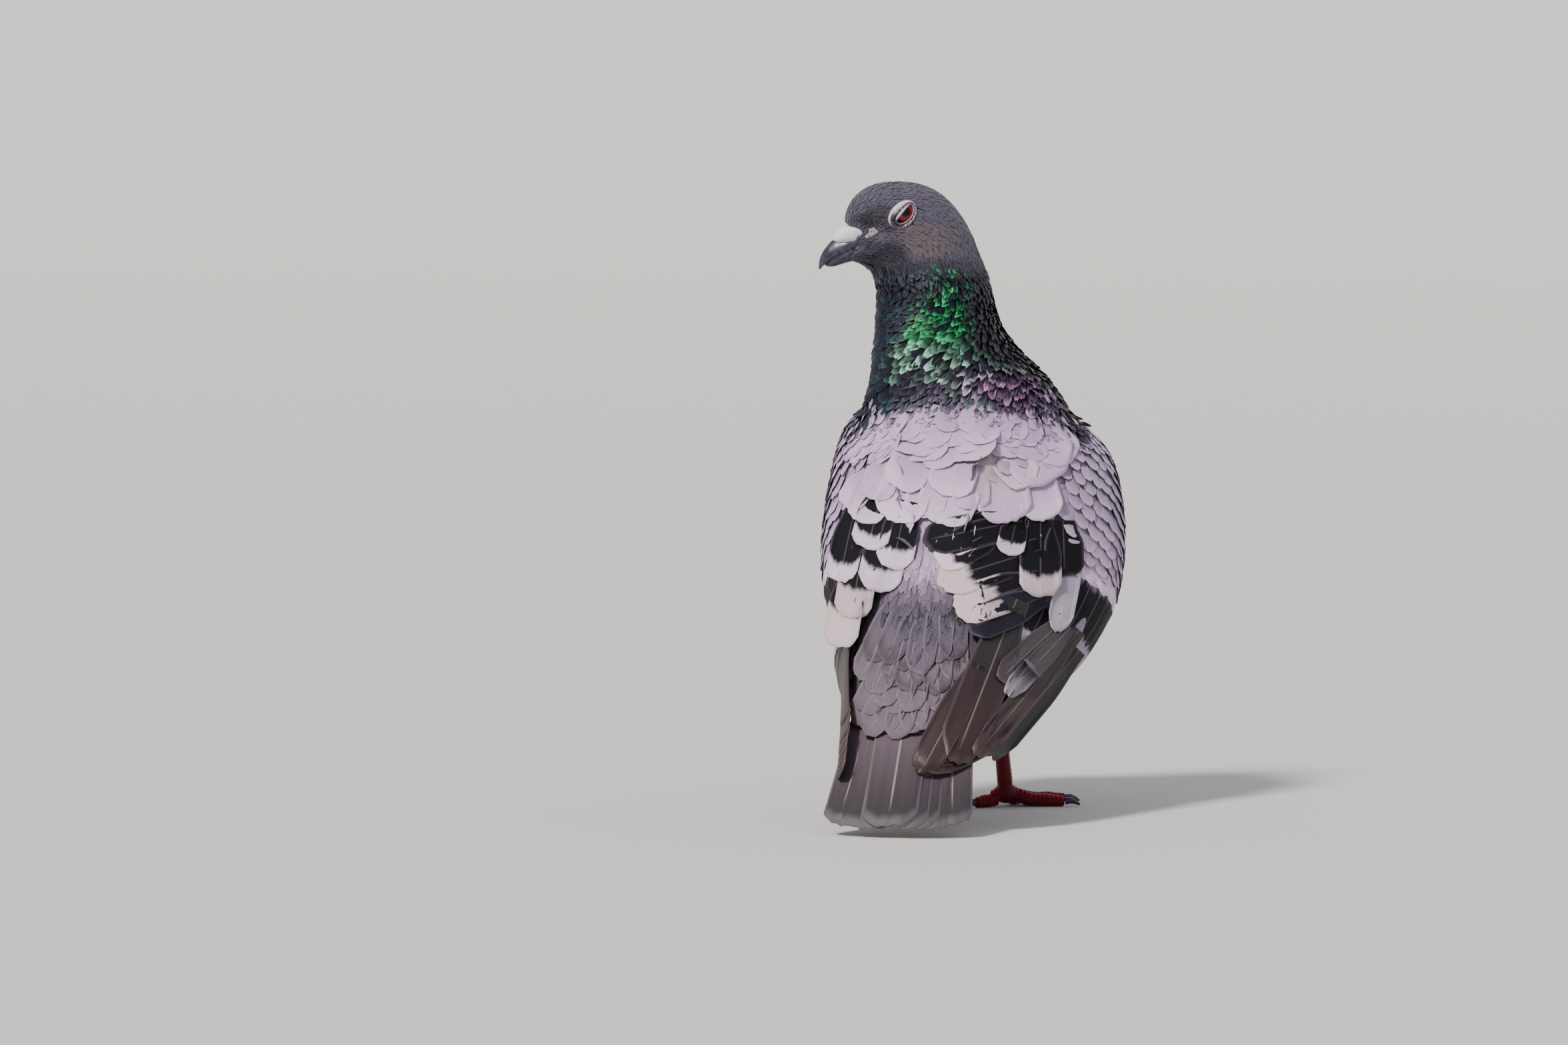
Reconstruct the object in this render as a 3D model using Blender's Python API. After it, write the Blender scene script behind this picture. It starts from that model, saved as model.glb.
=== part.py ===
"""A life-size rock pigeon, standing upright with its head turned back over its left shoulder.

The bird faces -Y, its left is +X and +Z is up. Sizes are in millimetres, and a mesh gets them in metres.
A place on the bird is (left, forward, up), measured from the point on the floor between its feet.
"""

import math
from collections import namedtuple

import bmesh
import bpy
from mathutils import Vector

MM = 0.001
GAP = 0.3  # clearance between two pieces that touch
RING_POINTS = 22
BILL_POINTS = 14
STEPS_PER_RIB = 2

# How the whole body leans to its left above the hips, as sideways travel for each unit of height.
LEAN = 0.16
HIP_HEIGHT = 60.0
NECK_TOP = 180.5

# The head: the way it faces, counted from straight ahead towards the left, and the place between the eyes.
HEAD_TURN = math.radians(112)
HEAD_PLACE = Vector((10.0, 38.5, 206.5))
EYE_FORWARD = 1.6
EYE_APART = 7.5
EYE_RADIUS = 5.0
THROAT_FORWARD = 20.0
THROAT_DROP = 26.0
FACE_START = 6  # the bill is cut back by the head's rings from this one on

# The tail: its upper face is a sloping plane that droops to either side.
TAIL_TOP_FORWARD = -45.0
TAIL_TOP_HEIGHT = 66.0
TAIL_SLOPE = 0.75
TAIL_ROOT = -44.0
TAIL_TIP = -127.3
TAIL_FEATHERS_A_SIDE = 6
TAIL_FEATHER_STEP = 0.6
TAIL_FEATHER_THICK = 1.2
TAIL_FEATHER_WIDTHS = (9.5, 13.5)
TAIL_HALF_WIDTH = 27.0
TAIL_ROOT_SPREAD = 12.0
TAIL_CENTRE = 2.2  # the tail is carried a little to the left

# The wings: the steps across one, how thick the leading edge is beside the middle, the rings at which the
# coverts and the secondaries end, and how many rings of the body, from the tail end, a wing may lie on.
WING_STEPS = 8
LEADING_EDGE = 0.5
COVERTS_END = 8
SECONDARIES_END = 13
WING_REACH = 24

# The legs and feet.
LEG_APART = 14.5
LEG_CENTRE = 1.9  # both feet stand this far to the left of the body's own middle
ANKLE = (2.0, 37.0)  # forward, up
FOOT = (15.0, 4.6)  # under the bird's weight
PALM_RADII = (4.6, 4.8, 3.6)
FOOT_TURN = {"left": math.radians(18), "right": math.radians(42)}

Rib = namedtuple("Rib", "dorsal ventral side taper")
WingRib = namedtuple("WingRib", "upper middle lower thick")
Toe = namedtuple("Toe", "number turn length claw")

COLOURS = {
    "mantle": ((0.46, 0.43, 0.50), 0.75, 0.0),
    "neck": ((0.09, 0.13, 0.13), 0.45, 0.2),
    "head": ((0.13, 0.12, 0.16), 0.75, 0.0),
    "wing": ((0.50, 0.47, 0.53), 0.7, 0.0),
    "bar": ((0.05, 0.04, 0.07), 0.6, 0.0),
    "flight": ((0.11, 0.08, 0.09), 0.6, 0.0),
    "tail": ((0.25, 0.23, 0.28), 0.7, 0.0),
    "cere": ((0.85, 0.83, 0.82), 0.8, 0.0),
    "bill": ((0.09, 0.09, 0.13), 0.4, 0.0),
    "eye": ((0.55, 0.06, 0.02), 0.1, 0.0),
    "leg": ((0.38, 0.03, 0.06), 0.6, 0.0),
    "claw": ((0.03, 0.03, 0.05), 0.35, 0.0),
}


def lean(height):
    """How far to the left the body is at this height."""
    return LEAN * (min(height, NECK_TOP) - HIP_HEIGHT)


def placed(point, leaning=True):
    """A place on the bird (left, forward, up) in millimetres, as a world point in metres."""
    left, forward, up = point
    return Vector((left + (lean(up) if leaning else 0.0), -forward, up)) * MM


def material(name):
    """The Principled material of this name, made once."""
    made = bpy.data.materials.get(name)
    if made is None:
        made = bpy.data.materials.new(name)
        made.use_nodes = True
        colour, roughness, metallic = COLOURS[name]
        shader = made.node_tree.nodes["Principled BSDF"]
        shader.inputs["Base Color"].default_value = (*colour, 1.0)
        shader.inputs["Roughness"].default_value = roughness
        shader.inputs["Metallic"].default_value = metallic
    return made


def object_from(name, shape, finish):
    """Turns a finished bmesh into a smooth-shaded object under the bird's empty."""
    shape.normal_update()
    bmesh.ops.recalc_face_normals(shape, faces=shape.faces)
    mesh = bpy.data.meshes.new(name)
    shape.to_mesh(mesh)
    shape.free()
    mesh.shade_smooth()
    mesh.set_sharp_from_angle(angle=math.radians(50))
    mesh.materials.append(material(finish))
    made = bpy.data.objects.new(name, mesh)
    bpy.context.scene.collection.objects.link(made)
    made.parent = bpy.data.objects["pigeon"]
    return made


def loft(name, rings, finish, leaning=True):
    """A closed solid through rings that all have the same number of points, with a flat cap at each end."""
    shape = bmesh.new()
    loops = [[shape.verts.new(placed(p, leaning)) for p in ring] for ring in rings]
    for near, far in zip(loops, loops[1:]):
        for i in range(len(near)):
            j = (i + 1) % len(near)
            shape.faces.new((near[i], near[j], far[j], far[i]))
    shape.faces.new(loops[0])
    shape.faces.new(loops[-1][::-1])
    return object_from(name, shape, finish)


def boolean(target, other, operation="DIFFERENCE"):
    """A live Boolean on target with other, which stays hidden as a helper."""
    other.hide_render = True
    other.display_type = "WIRE"
    modifier = target.modifiers.new(f"{operation.lower()}_{other.name}", "BOOLEAN")
    modifier.operation = operation
    modifier.object = other
    modifier.solver = "EXACT"
    return target


def between(a, b, c, d, t):
    """The Catmull-Rom curve from b to c."""
    return 0.5 * (
        2 * b + (c - a) * t + (2 * a - 5 * b + 4 * c - d) * t * t + (3 * b - a - 3 * c + d) * t**3
    )


def smooth_rows(rows, steps):
    """More rows along a smooth curve through the given ones. Each row is a tuple of vectors and numbers."""
    made = []
    last = len(rows) - 1
    for i in range(last):
        a, b, c, d = rows[max(i - 1, 0)], rows[i], rows[i + 1], rows[min(i + 2, last)]
        for k in range(steps):
            made.append([between(*parts, k / steps) for parts in zip(a, b, c, d)])
    made.append(list(rows[-1]))
    return made


def rib(dorsal, ventral, half_width, heading=0.0, place=(0.0, 0.0), taper=0.0):
    """A cross-section of the body. dorsal and ventral are (forward, up) in the plane that faces heading."""
    ahead = Vector((math.sin(heading), math.cos(heading), 0.0))
    side = Vector((math.cos(heading), -math.sin(heading), 0.0))
    foot = Vector((*place, 0.0))
    top = foot + ahead * dorsal[0] + Vector((0, 0, dorsal[1]))
    bottom = foot + ahead * ventral[0] + Vector((0, 0, ventral[1]))
    return Rib(top, bottom, side * half_width, taper)


def ring_of(section, swell=0.0, points=RING_POINTS):
    """The points round a rib, from the back over the left side. swell moves them outwards, in millimetres."""
    dorsal, ventral, side, taper = section
    centre, up = (dorsal + ventral) / 2, (dorsal - ventral) / 2
    up = up * (1 + swell / up.length)
    side = side * (1 + swell / side.length)
    ring = []
    for i in range(points):
        angle = 2 * math.pi * i / points
        narrow = 1 - taper * math.cos(angle)
        ring.append(centre + up * math.cos(angle) + side * (math.sin(angle) * narrow))
    return ring


def head_point(forward, up):
    """A place in the head's own upright plane, counted from between the eyes, as (forward, up) for rib()."""
    return forward, HEAD_PLACE.z + up


def head_rib(forward_up_top, forward_up_bottom, half_width, taper=0.0):
    return rib(
        head_point(*forward_up_top),
        head_point(*forward_up_bottom),
        half_width,
        HEAD_TURN,
        HEAD_PLACE.xy,
        taper,
    )


def fan_rib(angle, inner, outer, half_width, taper):
    """A head section in a plane that swings about the throat: level at the neck, upright at the face."""
    swing = math.radians(angle)
    back, up = -math.cos(swing), math.sin(swing)
    top = (THROAT_FORWARD + outer * back, outer * up - THROAT_DROP)
    bottom = (THROAT_FORWARD + inner * back, inner * up - THROAT_DROP)
    return head_rib(top, bottom, half_width, taper)


def trunk_ribs():
    """From the ends of the tail coverts to the root of the neck."""
    return [
        rib((-91, 33.2), (-87, 29.8), 13, place=(TAIL_CENTRE, 0)),
        rib((-80, 43), (-73, 31.5), 21, place=(TAIL_CENTRE, 0)),
        rib((-62, 58.5), (-49, 33.5), 27, place=(TAIL_CENTRE / 2, 0)),
        rib((-42, 76.5), (-22, 36), 29.5, taper=0.1),
        rib((-22, 95), (8, 38.5), 34.5, taper=0.12),
        rib((-5, 109), (35, 44), 40, taper=0.12),
        rib((8, 120), (59, 58), 43.5, taper=0.12),
        rib((17, 129), (75, 80), 44, taper=0.1),
        rib((22.5, 136.5), (81, 104), 42.5, taper=0.05),
    ]


def neck_ribs():
    """From the root of the neck up to the head, turning as the bird looks round."""
    return [
        rib((24.5, 143), (78.5, 128), 37.5, place=(-2.0, 0)),
        rib((-26, 151), (25.5, 145), 31.5, math.radians(14), (-1.5, 50)),
        rib((-23, 160), (23.5, 157.5), 26.0, math.radians(42), (1.2, 46.5)),
        rib((-21.8, 170), (22.2, 169), 21.0, math.radians(76), (1.6, 43.8)),
    ]


def head_ribs():
    """From the top of the neck over the crown to the feathers round the bill."""
    return [
        fan_rib(0, 9.5, 50.2, 18.8, 0.0),
        fan_rib(14, 9.6, 47.6, 16.9, 0.0),
        fan_rib(28, 9.6, 47.2, 15.0, 0.02),
        fan_rib(42, 9.6, 46.8, 13.6, 0.05),
        fan_rib(54, 9.6, 44.9, 12.8, 0.08),
        fan_rib(65, 9.5, 41.4, 12.0, 0.12),
        fan_rib(75, 9.4, 38.3, 10.9, 0.14),
        fan_rib(84, 9.3, 34.2, 9.4, 0.14),
        fan_rib(90, 9.2, 29.6, 7.9, 0.1),
        fan_rib(94, 9.2, 24.4, 6.4, 0.05),
        fan_rib(98, 10.4, 18.6, 4.2, 0.0),
    ]


def bill_notch(swell=0.0):
    """The space that the face's feathers leave round the bill: narrow at the gape and flaring forwards."""
    rows = [
        head_rib((11.5, -8.6), (11.5, -10.2), 4.2),
        head_rib((13.6, -6.2), (13.6, -11.9), 5.4),
        head_rib((16.4, -4.3), (16.4, -13.6), 6.6),
        head_rib((20.0, -3.4), (20.0, -15.2), 7.8),
        head_rib((24.0, -3.2), (24.0, -16.6), 8.8),
        head_rib((29.0, -3.0), (29.0, -18.0), 9.6),
    ]
    return [ring_of(row, swell, BILL_POINTS) for row in smooth_rows(rows, STEPS_PER_RIB)]


def body_rings(swell=0.0):
    """The rings of trunk, neck and head, as one smooth run."""
    ribs = trunk_ribs() + neck_ribs() + head_ribs()
    return [ring_of(row, swell) for row in smooth_rows(ribs, STEPS_PER_RIB)]


def parted(rings, first, last):
    """A stretch of rings, with each inner end drawn back by half a gap."""
    part = [list(ring) for ring in rings[first : last + 1]]
    for end, inside in ((0, 1), (-1, -2)):
        if (end == 0 and first == 0) or (end == -1 and last == len(rings) - 1):
            continue
        middle = sum(part[end], Vector()) / RING_POINTS
        inward = (sum(part[inside], Vector()) / RING_POINTS - middle).normalized()
        part[end] = [p + inward * (GAP / 2) for p in part[end]]
    return part


def ball(name, place, radii, finish, segments=14, rings=8, leaning=True):
    """An ellipsoid whose three radii lie along left, forward and up."""
    shape = bmesh.new()
    bmesh.ops.create_uvsphere(shape, u_segments=segments, v_segments=rings, radius=1.0)
    for vertex in shape.verts:
        offset = Vector(a * b for a, b in zip(vertex.co, radii))
        vertex.co = placed(place, leaning) + Vector((offset.x, -offset.y, offset.z)) * MM
    return object_from(name, shape, finish)


def eye_place(side):
    """Where an eyeball's centre is. side is 1 for the left eye and -1 for the right."""
    ahead = Vector((math.sin(HEAD_TURN), math.cos(HEAD_TURN), 0.0))
    across = Vector((math.cos(HEAD_TURN), -math.sin(HEAD_TURN), 0.0))
    return HEAD_PLACE + ahead * EYE_FORWARD + across * (EYE_APART * side)


def add_flesh():
    """Trunk, neck and head, parted by thin cuts, with sockets for the eyes and a notch for the bill."""
    rings = body_rings()
    neck_start = len(trunk_ribs()) * STEPS_PER_RIB
    head_start = neck_start + len(neck_ribs()) * STEPS_PER_RIB
    loft("trunk", parted(rings, 0, neck_start), "mantle")
    loft("neck", parted(rings, neck_start, head_start), "neck")
    head = loft("head", parted(rings, head_start, len(rings) - 1), "head")
    for side, word in ((1, "left"), (-1, "right")):
        place = eye_place(side)
        ball(f"eye_{word}", place, [EYE_RADIUS] * 3, "eye")
        boolean(head, ball(f"socket_{word}", place, [EYE_RADIUS + GAP] * 3, "head"))
    boolean(head, loft("bill_notch", bill_notch(), "head"))


def add_bill():
    """Two mandibles and the bare cere on the upper one, each cut back where the face's feathers meet it."""
    upper = smooth_rows(
        [
            head_rib((15.0, -6.4), (15.0, -11.4), 4.9),
            head_rib((20.0, -7.2), (20.5, -12.6), 4.5),
            head_rib((25.2, -8.5), (24.4, -14.7), 3.5),
            head_rib((28.3, -11.5), (27.0, -16.4), 2.7),
            head_rib((30.3, -14.6), (29.0, -17.7), 1.9),
            head_rib((31.0, -17.4), (30.0, -18.6), 1.1),
            head_rib((30.9, -19.2), (30.7, -19.3), 0.35),
        ],
        STEPS_PER_RIB,
    )
    lower = smooth_rows(
        [
            head_rib((15.0, -10.6), (15.0, -15.6), 4.5),
            head_rib((20.2, -11.4), (20.2, -16.9), 4.0),
            head_rib((24.1, -13.4), (23.6, -18.1), 3.1),
            head_rib((26.8, -15.4), (26.2, -19.0), 2.2),
            head_rib((28.9, -17.2), (28.4, -19.5), 1.1),
        ],
        STEPS_PER_RIB,
    )
    cere = smooth_rows(
        [
            head_rib((13.2, -6.6), (13.6, -8.6), 1.8),
            head_rib((15.4, -3.9), (15.6, -10.0), 4.0),
            head_rib((19.0, -3.0), (18.6, -10.6), 5.2),
            head_rib((22.6, -4.4), (21.8, -10.8), 4.9),
            head_rib((25.0, -6.8), (24.2, -10.4), 3.4),
            head_rib((26.2, -8.7), (25.9, -9.6), 1.0),
        ],
        STEPS_PER_RIB,
    )
    head_start = (len(trunk_ribs()) + len(neck_ribs())) * STEPS_PER_RIB
    face_rings = body_rings(GAP)[head_start + FACE_START :]
    bill_upper = loft("bill_upper", [ring_of(row, 0.0, BILL_POINTS) for row in upper], "bill")
    bill_lower = loft("bill_lower", [ring_of(row, 0.0, BILL_POINTS) for row in lower], "bill")
    lobes = loft("cere", [ring_of(row, 0.0, BILL_POINTS) for row in cere], "cere")
    upper_room = [ring_of(row, GAP, BILL_POINTS) for row in upper]
    for piece in (bill_upper, bill_lower, lobes):
        face = loft(f"face_behind_{piece.name}", face_rings, "head")
        boolean(piece, boolean(face, loft(f"notch_of_{piece.name}", bill_notch(-GAP), "head")))
    boolean(lobes, loft("bill_under_cere", upper_room, "bill"))
    boolean(bill_lower, loft("bill_over_jaw", upper_room, "bill"))


def tail_top(left, forward):
    """The height of the tail's upper face."""
    droop = TAIL_FEATHER_STEP * TAIL_FEATHERS_A_SIDE * (abs(left - TAIL_CENTRE) / TAIL_HALF_WIDTH)
    return TAIL_TOP_HEIGHT + TAIL_SLOPE * (forward - TAIL_TOP_FORWARD) - droop


def plate(name, root, tip, widths, thick, finish, round_points=3):
    """One flat feather from root to tip, with its widths at the root and before the rounded end."""
    root, tip = Vector(root), Vector(tip)
    along = (tip - root).normalized()
    across = along.cross(Vector((0, 0, 1))).normalized()
    down = across.cross(along).normalized()
    if down.z > 0:
        down = -down
    reach = (tip - root).length - widths[1] * 0.42
    outline = [root - across * widths[0] / 2]
    for k in range(round_points * 2 + 1):
        turn = math.pi * k / (round_points * 2)
        centre = root + along * reach
        sideways = -math.cos(turn) * widths[1] / 2
        outline.append(centre + across * sideways + along * (math.sin(turn) * widths[1] * 0.42))
    outline.append(root + across * widths[0] / 2)
    shape = bmesh.new()
    upper = [shape.verts.new(placed(p)) for p in outline]
    lower = [shape.verts.new(placed(p + down * thick)) for p in outline]
    shape.faces.new(upper)
    shape.faces.new(lower[::-1])
    for i in range(len(outline)):
        j = (i + 1) % len(outline)
        shape.faces.new((upper[i], lower[i], lower[j], upper[j]))
    return object_from(name, shape, finish)


def add_tail():
    """Twelve tail feathers that overlap like roof tiles from the middle pair outwards."""
    tail = None
    for place in range(TAIL_FEATHERS_A_SIDE):
        for side in (1, -1):
            spread = (place + (0.5 if side > 0 else 0.35)) / TAIL_FEATHERS_A_SIDE
            low = TAIL_FEATHER_STEP * (place + (0.5 if side > 0 else 0.0))
            root_left = TAIL_CENTRE + side * spread * TAIL_ROOT_SPREAD
            tip_left = TAIL_CENTRE + side * spread * (TAIL_HALF_WIDTH - 4.5)
            tip_forward = TAIL_TIP + 1.2 * place * spread
            root = (root_left, TAIL_ROOT, TAIL_TOP_HEIGHT - low)
            tip = (tip_left, tip_forward, TAIL_TOP_HEIGHT + TAIL_SLOPE * (tip_forward - TAIL_ROOT) - low)
            name = f"tail_feather_{place}_{side}"
            feather = plate(name, root, tip, TAIL_FEATHER_WIDTHS, TAIL_FEATHER_THICK, "tail")
            if tail is None:
                tail = feather
                tail.name = "tail"
            else:
                boolean(tail, feather, "UNION")
    boolean(tail, loft("coverts_round_tail", body_rings(GAP)[: len(trunk_ribs())], "mantle"))


def tail_space(name):
    """The room that the tail takes, for cutting a wing that lies on it."""
    rings = []
    for forward, half_width in ((TAIL_ROOT, TAIL_ROOT_SPREAD + 6), (TAIL_TIP - 2, TAIL_HALF_WIDTH + 1)):
        upper = [(TAIL_CENTRE + half_width * k / 2, forward) for k in range(-2, 3)]
        ring = [Vector((x, y, tail_top(x, y) + TAIL_FEATHER_STEP + GAP)) for x, y in upper]
        rings.append(ring + [Vector((x, y, tail_top(x, y) - 7)) for x, y in upper[::-1]])
    return loft(name, rings, "tail")


def wing_ring(section):
    """The outline across a folded wing: over its outer face from the upper edge down, and back inside it."""
    upper, middle, lower, thick = section
    inward = ((upper + lower) / 2 - middle).normalized()
    thin_edge = min(1.0, thick * 0.6)
    thick_edge = max(thin_edge, thick * LEADING_EDGE)
    outer, inner = [], []
    for k in range(WING_STEPS + 1):
        s = k / WING_STEPS
        point = upper * (2 * s * s - 3 * s + 1) + middle * (4 * s - 4 * s * s) + lower * (2 * s * s - s)
        edge = thin_edge if s < 0.5 else thick_edge
        depth = edge + (thick - edge) * 4 * s * (1 - s)
        outer.append(point)
        inner.append(point + inward * depth)
    return outer + inner[::-1]


def wing_ribs(side):
    """Sections of a folded wing from its wrist to its tip. Each point is (forward, out, up)."""
    rows = [
        ((50, 28, 141), (63, 45, 129.5), (74, 38, 115), 9),
        ((36, 22, 140), (58, 49, 123), (75, 41, 97), 17),
        ((21, 17, 132.5), (44, 52, 107), (64, 40, 79), 19),
        ((5, 13, 121), (27, 52.5, 90), (47, 36.5, 65), 19),
        ((-10, 11, 107.5), (9, 49.5, 74), (23, 34, 52.5), 17),
        ((-26, 13, 93), (-11, 43.5, 61), (-4, 33, 45), 12),
    ]
    right_end = [
        ((-42, 19, 78), (-33, 38, 54), (-30, 32, 39), 6),
        ((-59, 21, 62.5), (-52, 33.5, 47), (-53, 31.5, 32), 4),
        ((-75, 17.5, 49.5), (-70, 28, 41), (-70, 31, 28), 2.8),
        ((-91, 10, 37.5), (-90, 20, 34), (-89, 27, 26.5), 2.0),
        ((-101, 5, 29.4), (-101, 12, 27.5), (-100, 18.5, 23.5), 1.6),
        ((-107.5, 3, 24.3), (-108, 5, 23.6), (-107.5, 8, 21.8), 1.0),
    ]
    left_end = [
        ((-42, 23.5, 77), (-33, 39, 54), (-31, 35, 39), 6),
        ((-59, 26.5, 59), (-53, 33.5, 46), (-53, 33.5, 33), 4),
        ((-75, 24.5, 47), (-71, 29.5, 38.5), (-72, 31, 28), 2.8),
        ((-91, 21.5, 36.5), (-88, 26.4, 30.5), (-89, 28.4, 23), 2.0),
        ((-101, 20.6, 29.4), (-100, 24, 25), (-100, 26.2, 20), 1.6),
        ((-107.5, 20.8, 24), (-107.6, 22, 22.2), (-107.4, 23.2, 20.4), 1.0),
    ]
    rows += left_end if side > 0 else right_end
    made = []
    for upper, middle, lower, thick in rows:
        points = [Vector((out * side, forward, up)) for forward, out, up in (upper, middle, lower)]
        made.append(WingRib(*points, thick))
    return made


def add_wing(side, word):
    """A folded wing in three named parts, hollowed to lie on the trunk."""
    rings = [wing_ring(WingRib(*row)) for row in smooth_rows(wing_ribs(side), STEPS_PER_RIB)]
    tip = len(rings) - 1
    shares = (
        ("wing_coverts", 0, COVERTS_END, "wing"),
        ("wing_secondaries", COVERTS_END, SECONDARIES_END, "bar"),
        ("wing_primaries", SECONDARIES_END, tip, "flight"),
    )
    for name, first, last, finish in shares:
        part = [list(ring) for ring in rings[first : last + 1]]
        if last < tip:
            part[-1] = [p + (q - p).normalized() * GAP for p, q in zip(part[-1], part[-2])]
        piece = loft(f"{name}_{word}", part, finish)
        boolean(piece, loft(f"trunk_under_{name}_{word}", body_rings(GAP)[:WING_REACH], "mantle"))
        if last == tip:
            boolean(piece, tail_space(f"tail_under_{name}_{word}"))


def tube(name, stations, finish, points=8, flat=False):
    """A tapering limb through (place, radius) stations. With flat set, it is pressed level on the floor."""
    rings = []
    for i, (place, radius) in enumerate(stations):
        before, after = stations[max(i - 1, 0)][0], stations[min(i + 1, len(stations) - 1)][0]
        along = (Vector(after) - Vector(before)).normalized()
        side = along.cross(Vector((0, 0, 1)))
        side = side.normalized() if side.length > 0.01 else Vector((1, 0, 0))
        up = side.cross(along)
        ring = []
        for k in range(points):
            angle = 2 * math.pi * (k + 0.5) / points
            point = Vector(place) + (side * math.cos(angle) + up * math.sin(angle)) * radius
            if flat:
                point.z = max(point.z, 0.0)
            ring.append(point)
        rings.append(ring)
    return loft(name, rings, finish, leaning=False)


def reached(start, turn, distance, height):
    """A place at this distance from start, turned outwards from straight ahead, at this height."""
    return (start[0] + distance * math.sin(turn), start[1] + distance * math.cos(turn), height)


def toe_stations(palm, turn, length):
    """The middle line of a toe: down from the palm, then along the floor with a pad under each joint."""
    return [
        (reached(palm, turn, 0.5, 4.6), 2.6),
        (reached(palm, turn, PALM_RADII[0], 3.9), 2.4),
        (reached(palm, turn, length * 0.38, 2.5), 2.5),
        (reached(palm, turn, length * 0.55, 2.2), 2.2),
        (reached(palm, turn, length * 0.70, 2.2), 2.35),
        (reached(palm, turn, length * 0.85, 1.9), 2.0),
        (reached(palm, turn, length * 0.96, 1.8), 1.9),
        (reached(palm, turn, length, 1.7), 1.3),
    ]


def claw_stations(palm, turn, length, reach):
    """A claw that curves down to the floor from the end of its toe."""
    start = length + GAP
    return [
        (reached(palm, turn, start, 1.9), 1.25),
        (reached(palm, turn, start + reach * 0.35, 2.1), 1.05),
        (reached(palm, turn, start + reach * 0.7, 1.6), 0.7),
        (reached(palm, turn, start + reach, 0.7), 0.3),
    ]


def add_leg(side, word):
    """A feathered thigh, a bare tarsus, and a foot with three toes forwards, one back and their claws."""
    hip = LEG_CENTRE + LEG_APART * side
    palm = (hip, *FOOT)
    heading = side * FOOT_TURN[word]
    toes = [
        Toe(1, heading + math.pi, 13.0, 5.0),
        Toe(2, heading - side * math.radians(38), 20.0, 5.5),
        Toe(3, heading, 25.0, 6.0),
        Toe(4, heading + side * math.radians(36), 20.5, 5.0),
    ]
    foot = ball(f"foot_{word}", palm, PALM_RADII, "leg", leaning=False)
    for number, turn, length, claw in toes:
        toe = tube(f"toe_{number}_{word}", toe_stations(palm, turn, length), "leg", flat=True)
        boolean(foot, toe, "UNION")
        tube(f"claw_{number}_{word}", claw_stations(palm, turn, length, claw), "claw", flat=True)
    ankle = (hip, *ANKLE)
    shin = [
        ((hip, FOOT[0] - 0.6, FOOT[1] + 1.2), 2.7),
        ((hip, FOOT[0] - 1.9, FOOT[1] + 4.5), 2.8),
        ((hip, (FOOT[0] + ANKLE[0]) / 2, (FOOT[1] + ANKLE[1]) / 2), 2.6),
        ((hip, ANKLE[0] + 2.4, ANKLE[1] - 6), 2.9),
        (ankle, 3.2),
    ]
    tarsus = tube(f"tarsus_{word}", shin, "leg")
    room = [radius + GAP for radius in PALM_RADII]
    boolean(tarsus, ball(f"palm_under_tarsus_{word}", palm, room, "leg", leaning=False))
    feathers = [
        ((hip, ANKLE[0] - 0.5, ANKLE[1] - 5), 3.4),
        ((hip, ANKLE[0], ANKLE[1]), 6.4),
        ((hip, ANKLE[0] + 7, ANKLE[1] + 9), 9.0),
        ((hip, ANKLE[0] + 15, ANKLE[1] + 19), 10.0),
    ]
    thigh = tube(f"thigh_{word}", feathers, "mantle", 16)
    boolean(thigh, loft(f"trunk_over_thigh_{word}", body_rings(GAP)[: 2 * len(trunk_ribs())], "mantle"))
    sleeve = [(place, radius + GAP) for place, radius in shin]
    sleeve.append(((hip, ANKLE[0] - 0.2, ANKLE[1] + 0.5), shin[-1][1] + GAP))
    boolean(thigh, tube(f"tarsus_in_thigh_{word}", sleeve, "leg"))


def built_bounds():
    """The lowest and highest corner of what the build reads, in metres."""
    now = bpy.context.evaluated_depsgraph_get()
    shown = [piece for piece in bpy.data.objects if piece.type == "MESH" and not piece.hide_render]
    corners = [vertex.co for piece in shown for vertex in piece.evaluated_get(now).data.vertices]
    low = Vector(min(corner[axis] for corner in corners) for axis in range(3))
    high = Vector(max(corner[axis] for corner in corners) for axis in range(3))
    return low, high


def build():
    for old in list(bpy.data.objects):
        bpy.data.objects.remove(old)
    pigeon = bpy.data.objects.new("pigeon", None)
    bpy.context.scene.collection.objects.link(pigeon)
    add_flesh()
    add_bill()
    add_tail()
    for side, word in ((1, "left"), (-1, "right")):
        add_wing(side, word)
        add_leg(side, word)
    low, high = built_bounds()
    pigeon.location = (-(low.x + high.x) / 2, -(low.y + high.y) / 2, -low.z)


build()
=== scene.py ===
"""The looks of a rock pigeon that stands at rest and looks back over its left shoulder.

The bird faces -Y, its left is +X and +Z is up. Places on it are (left, forward, up) in millimetres from the
point between its feet, and become frame points in metres when a mesh is made.
"""

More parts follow.
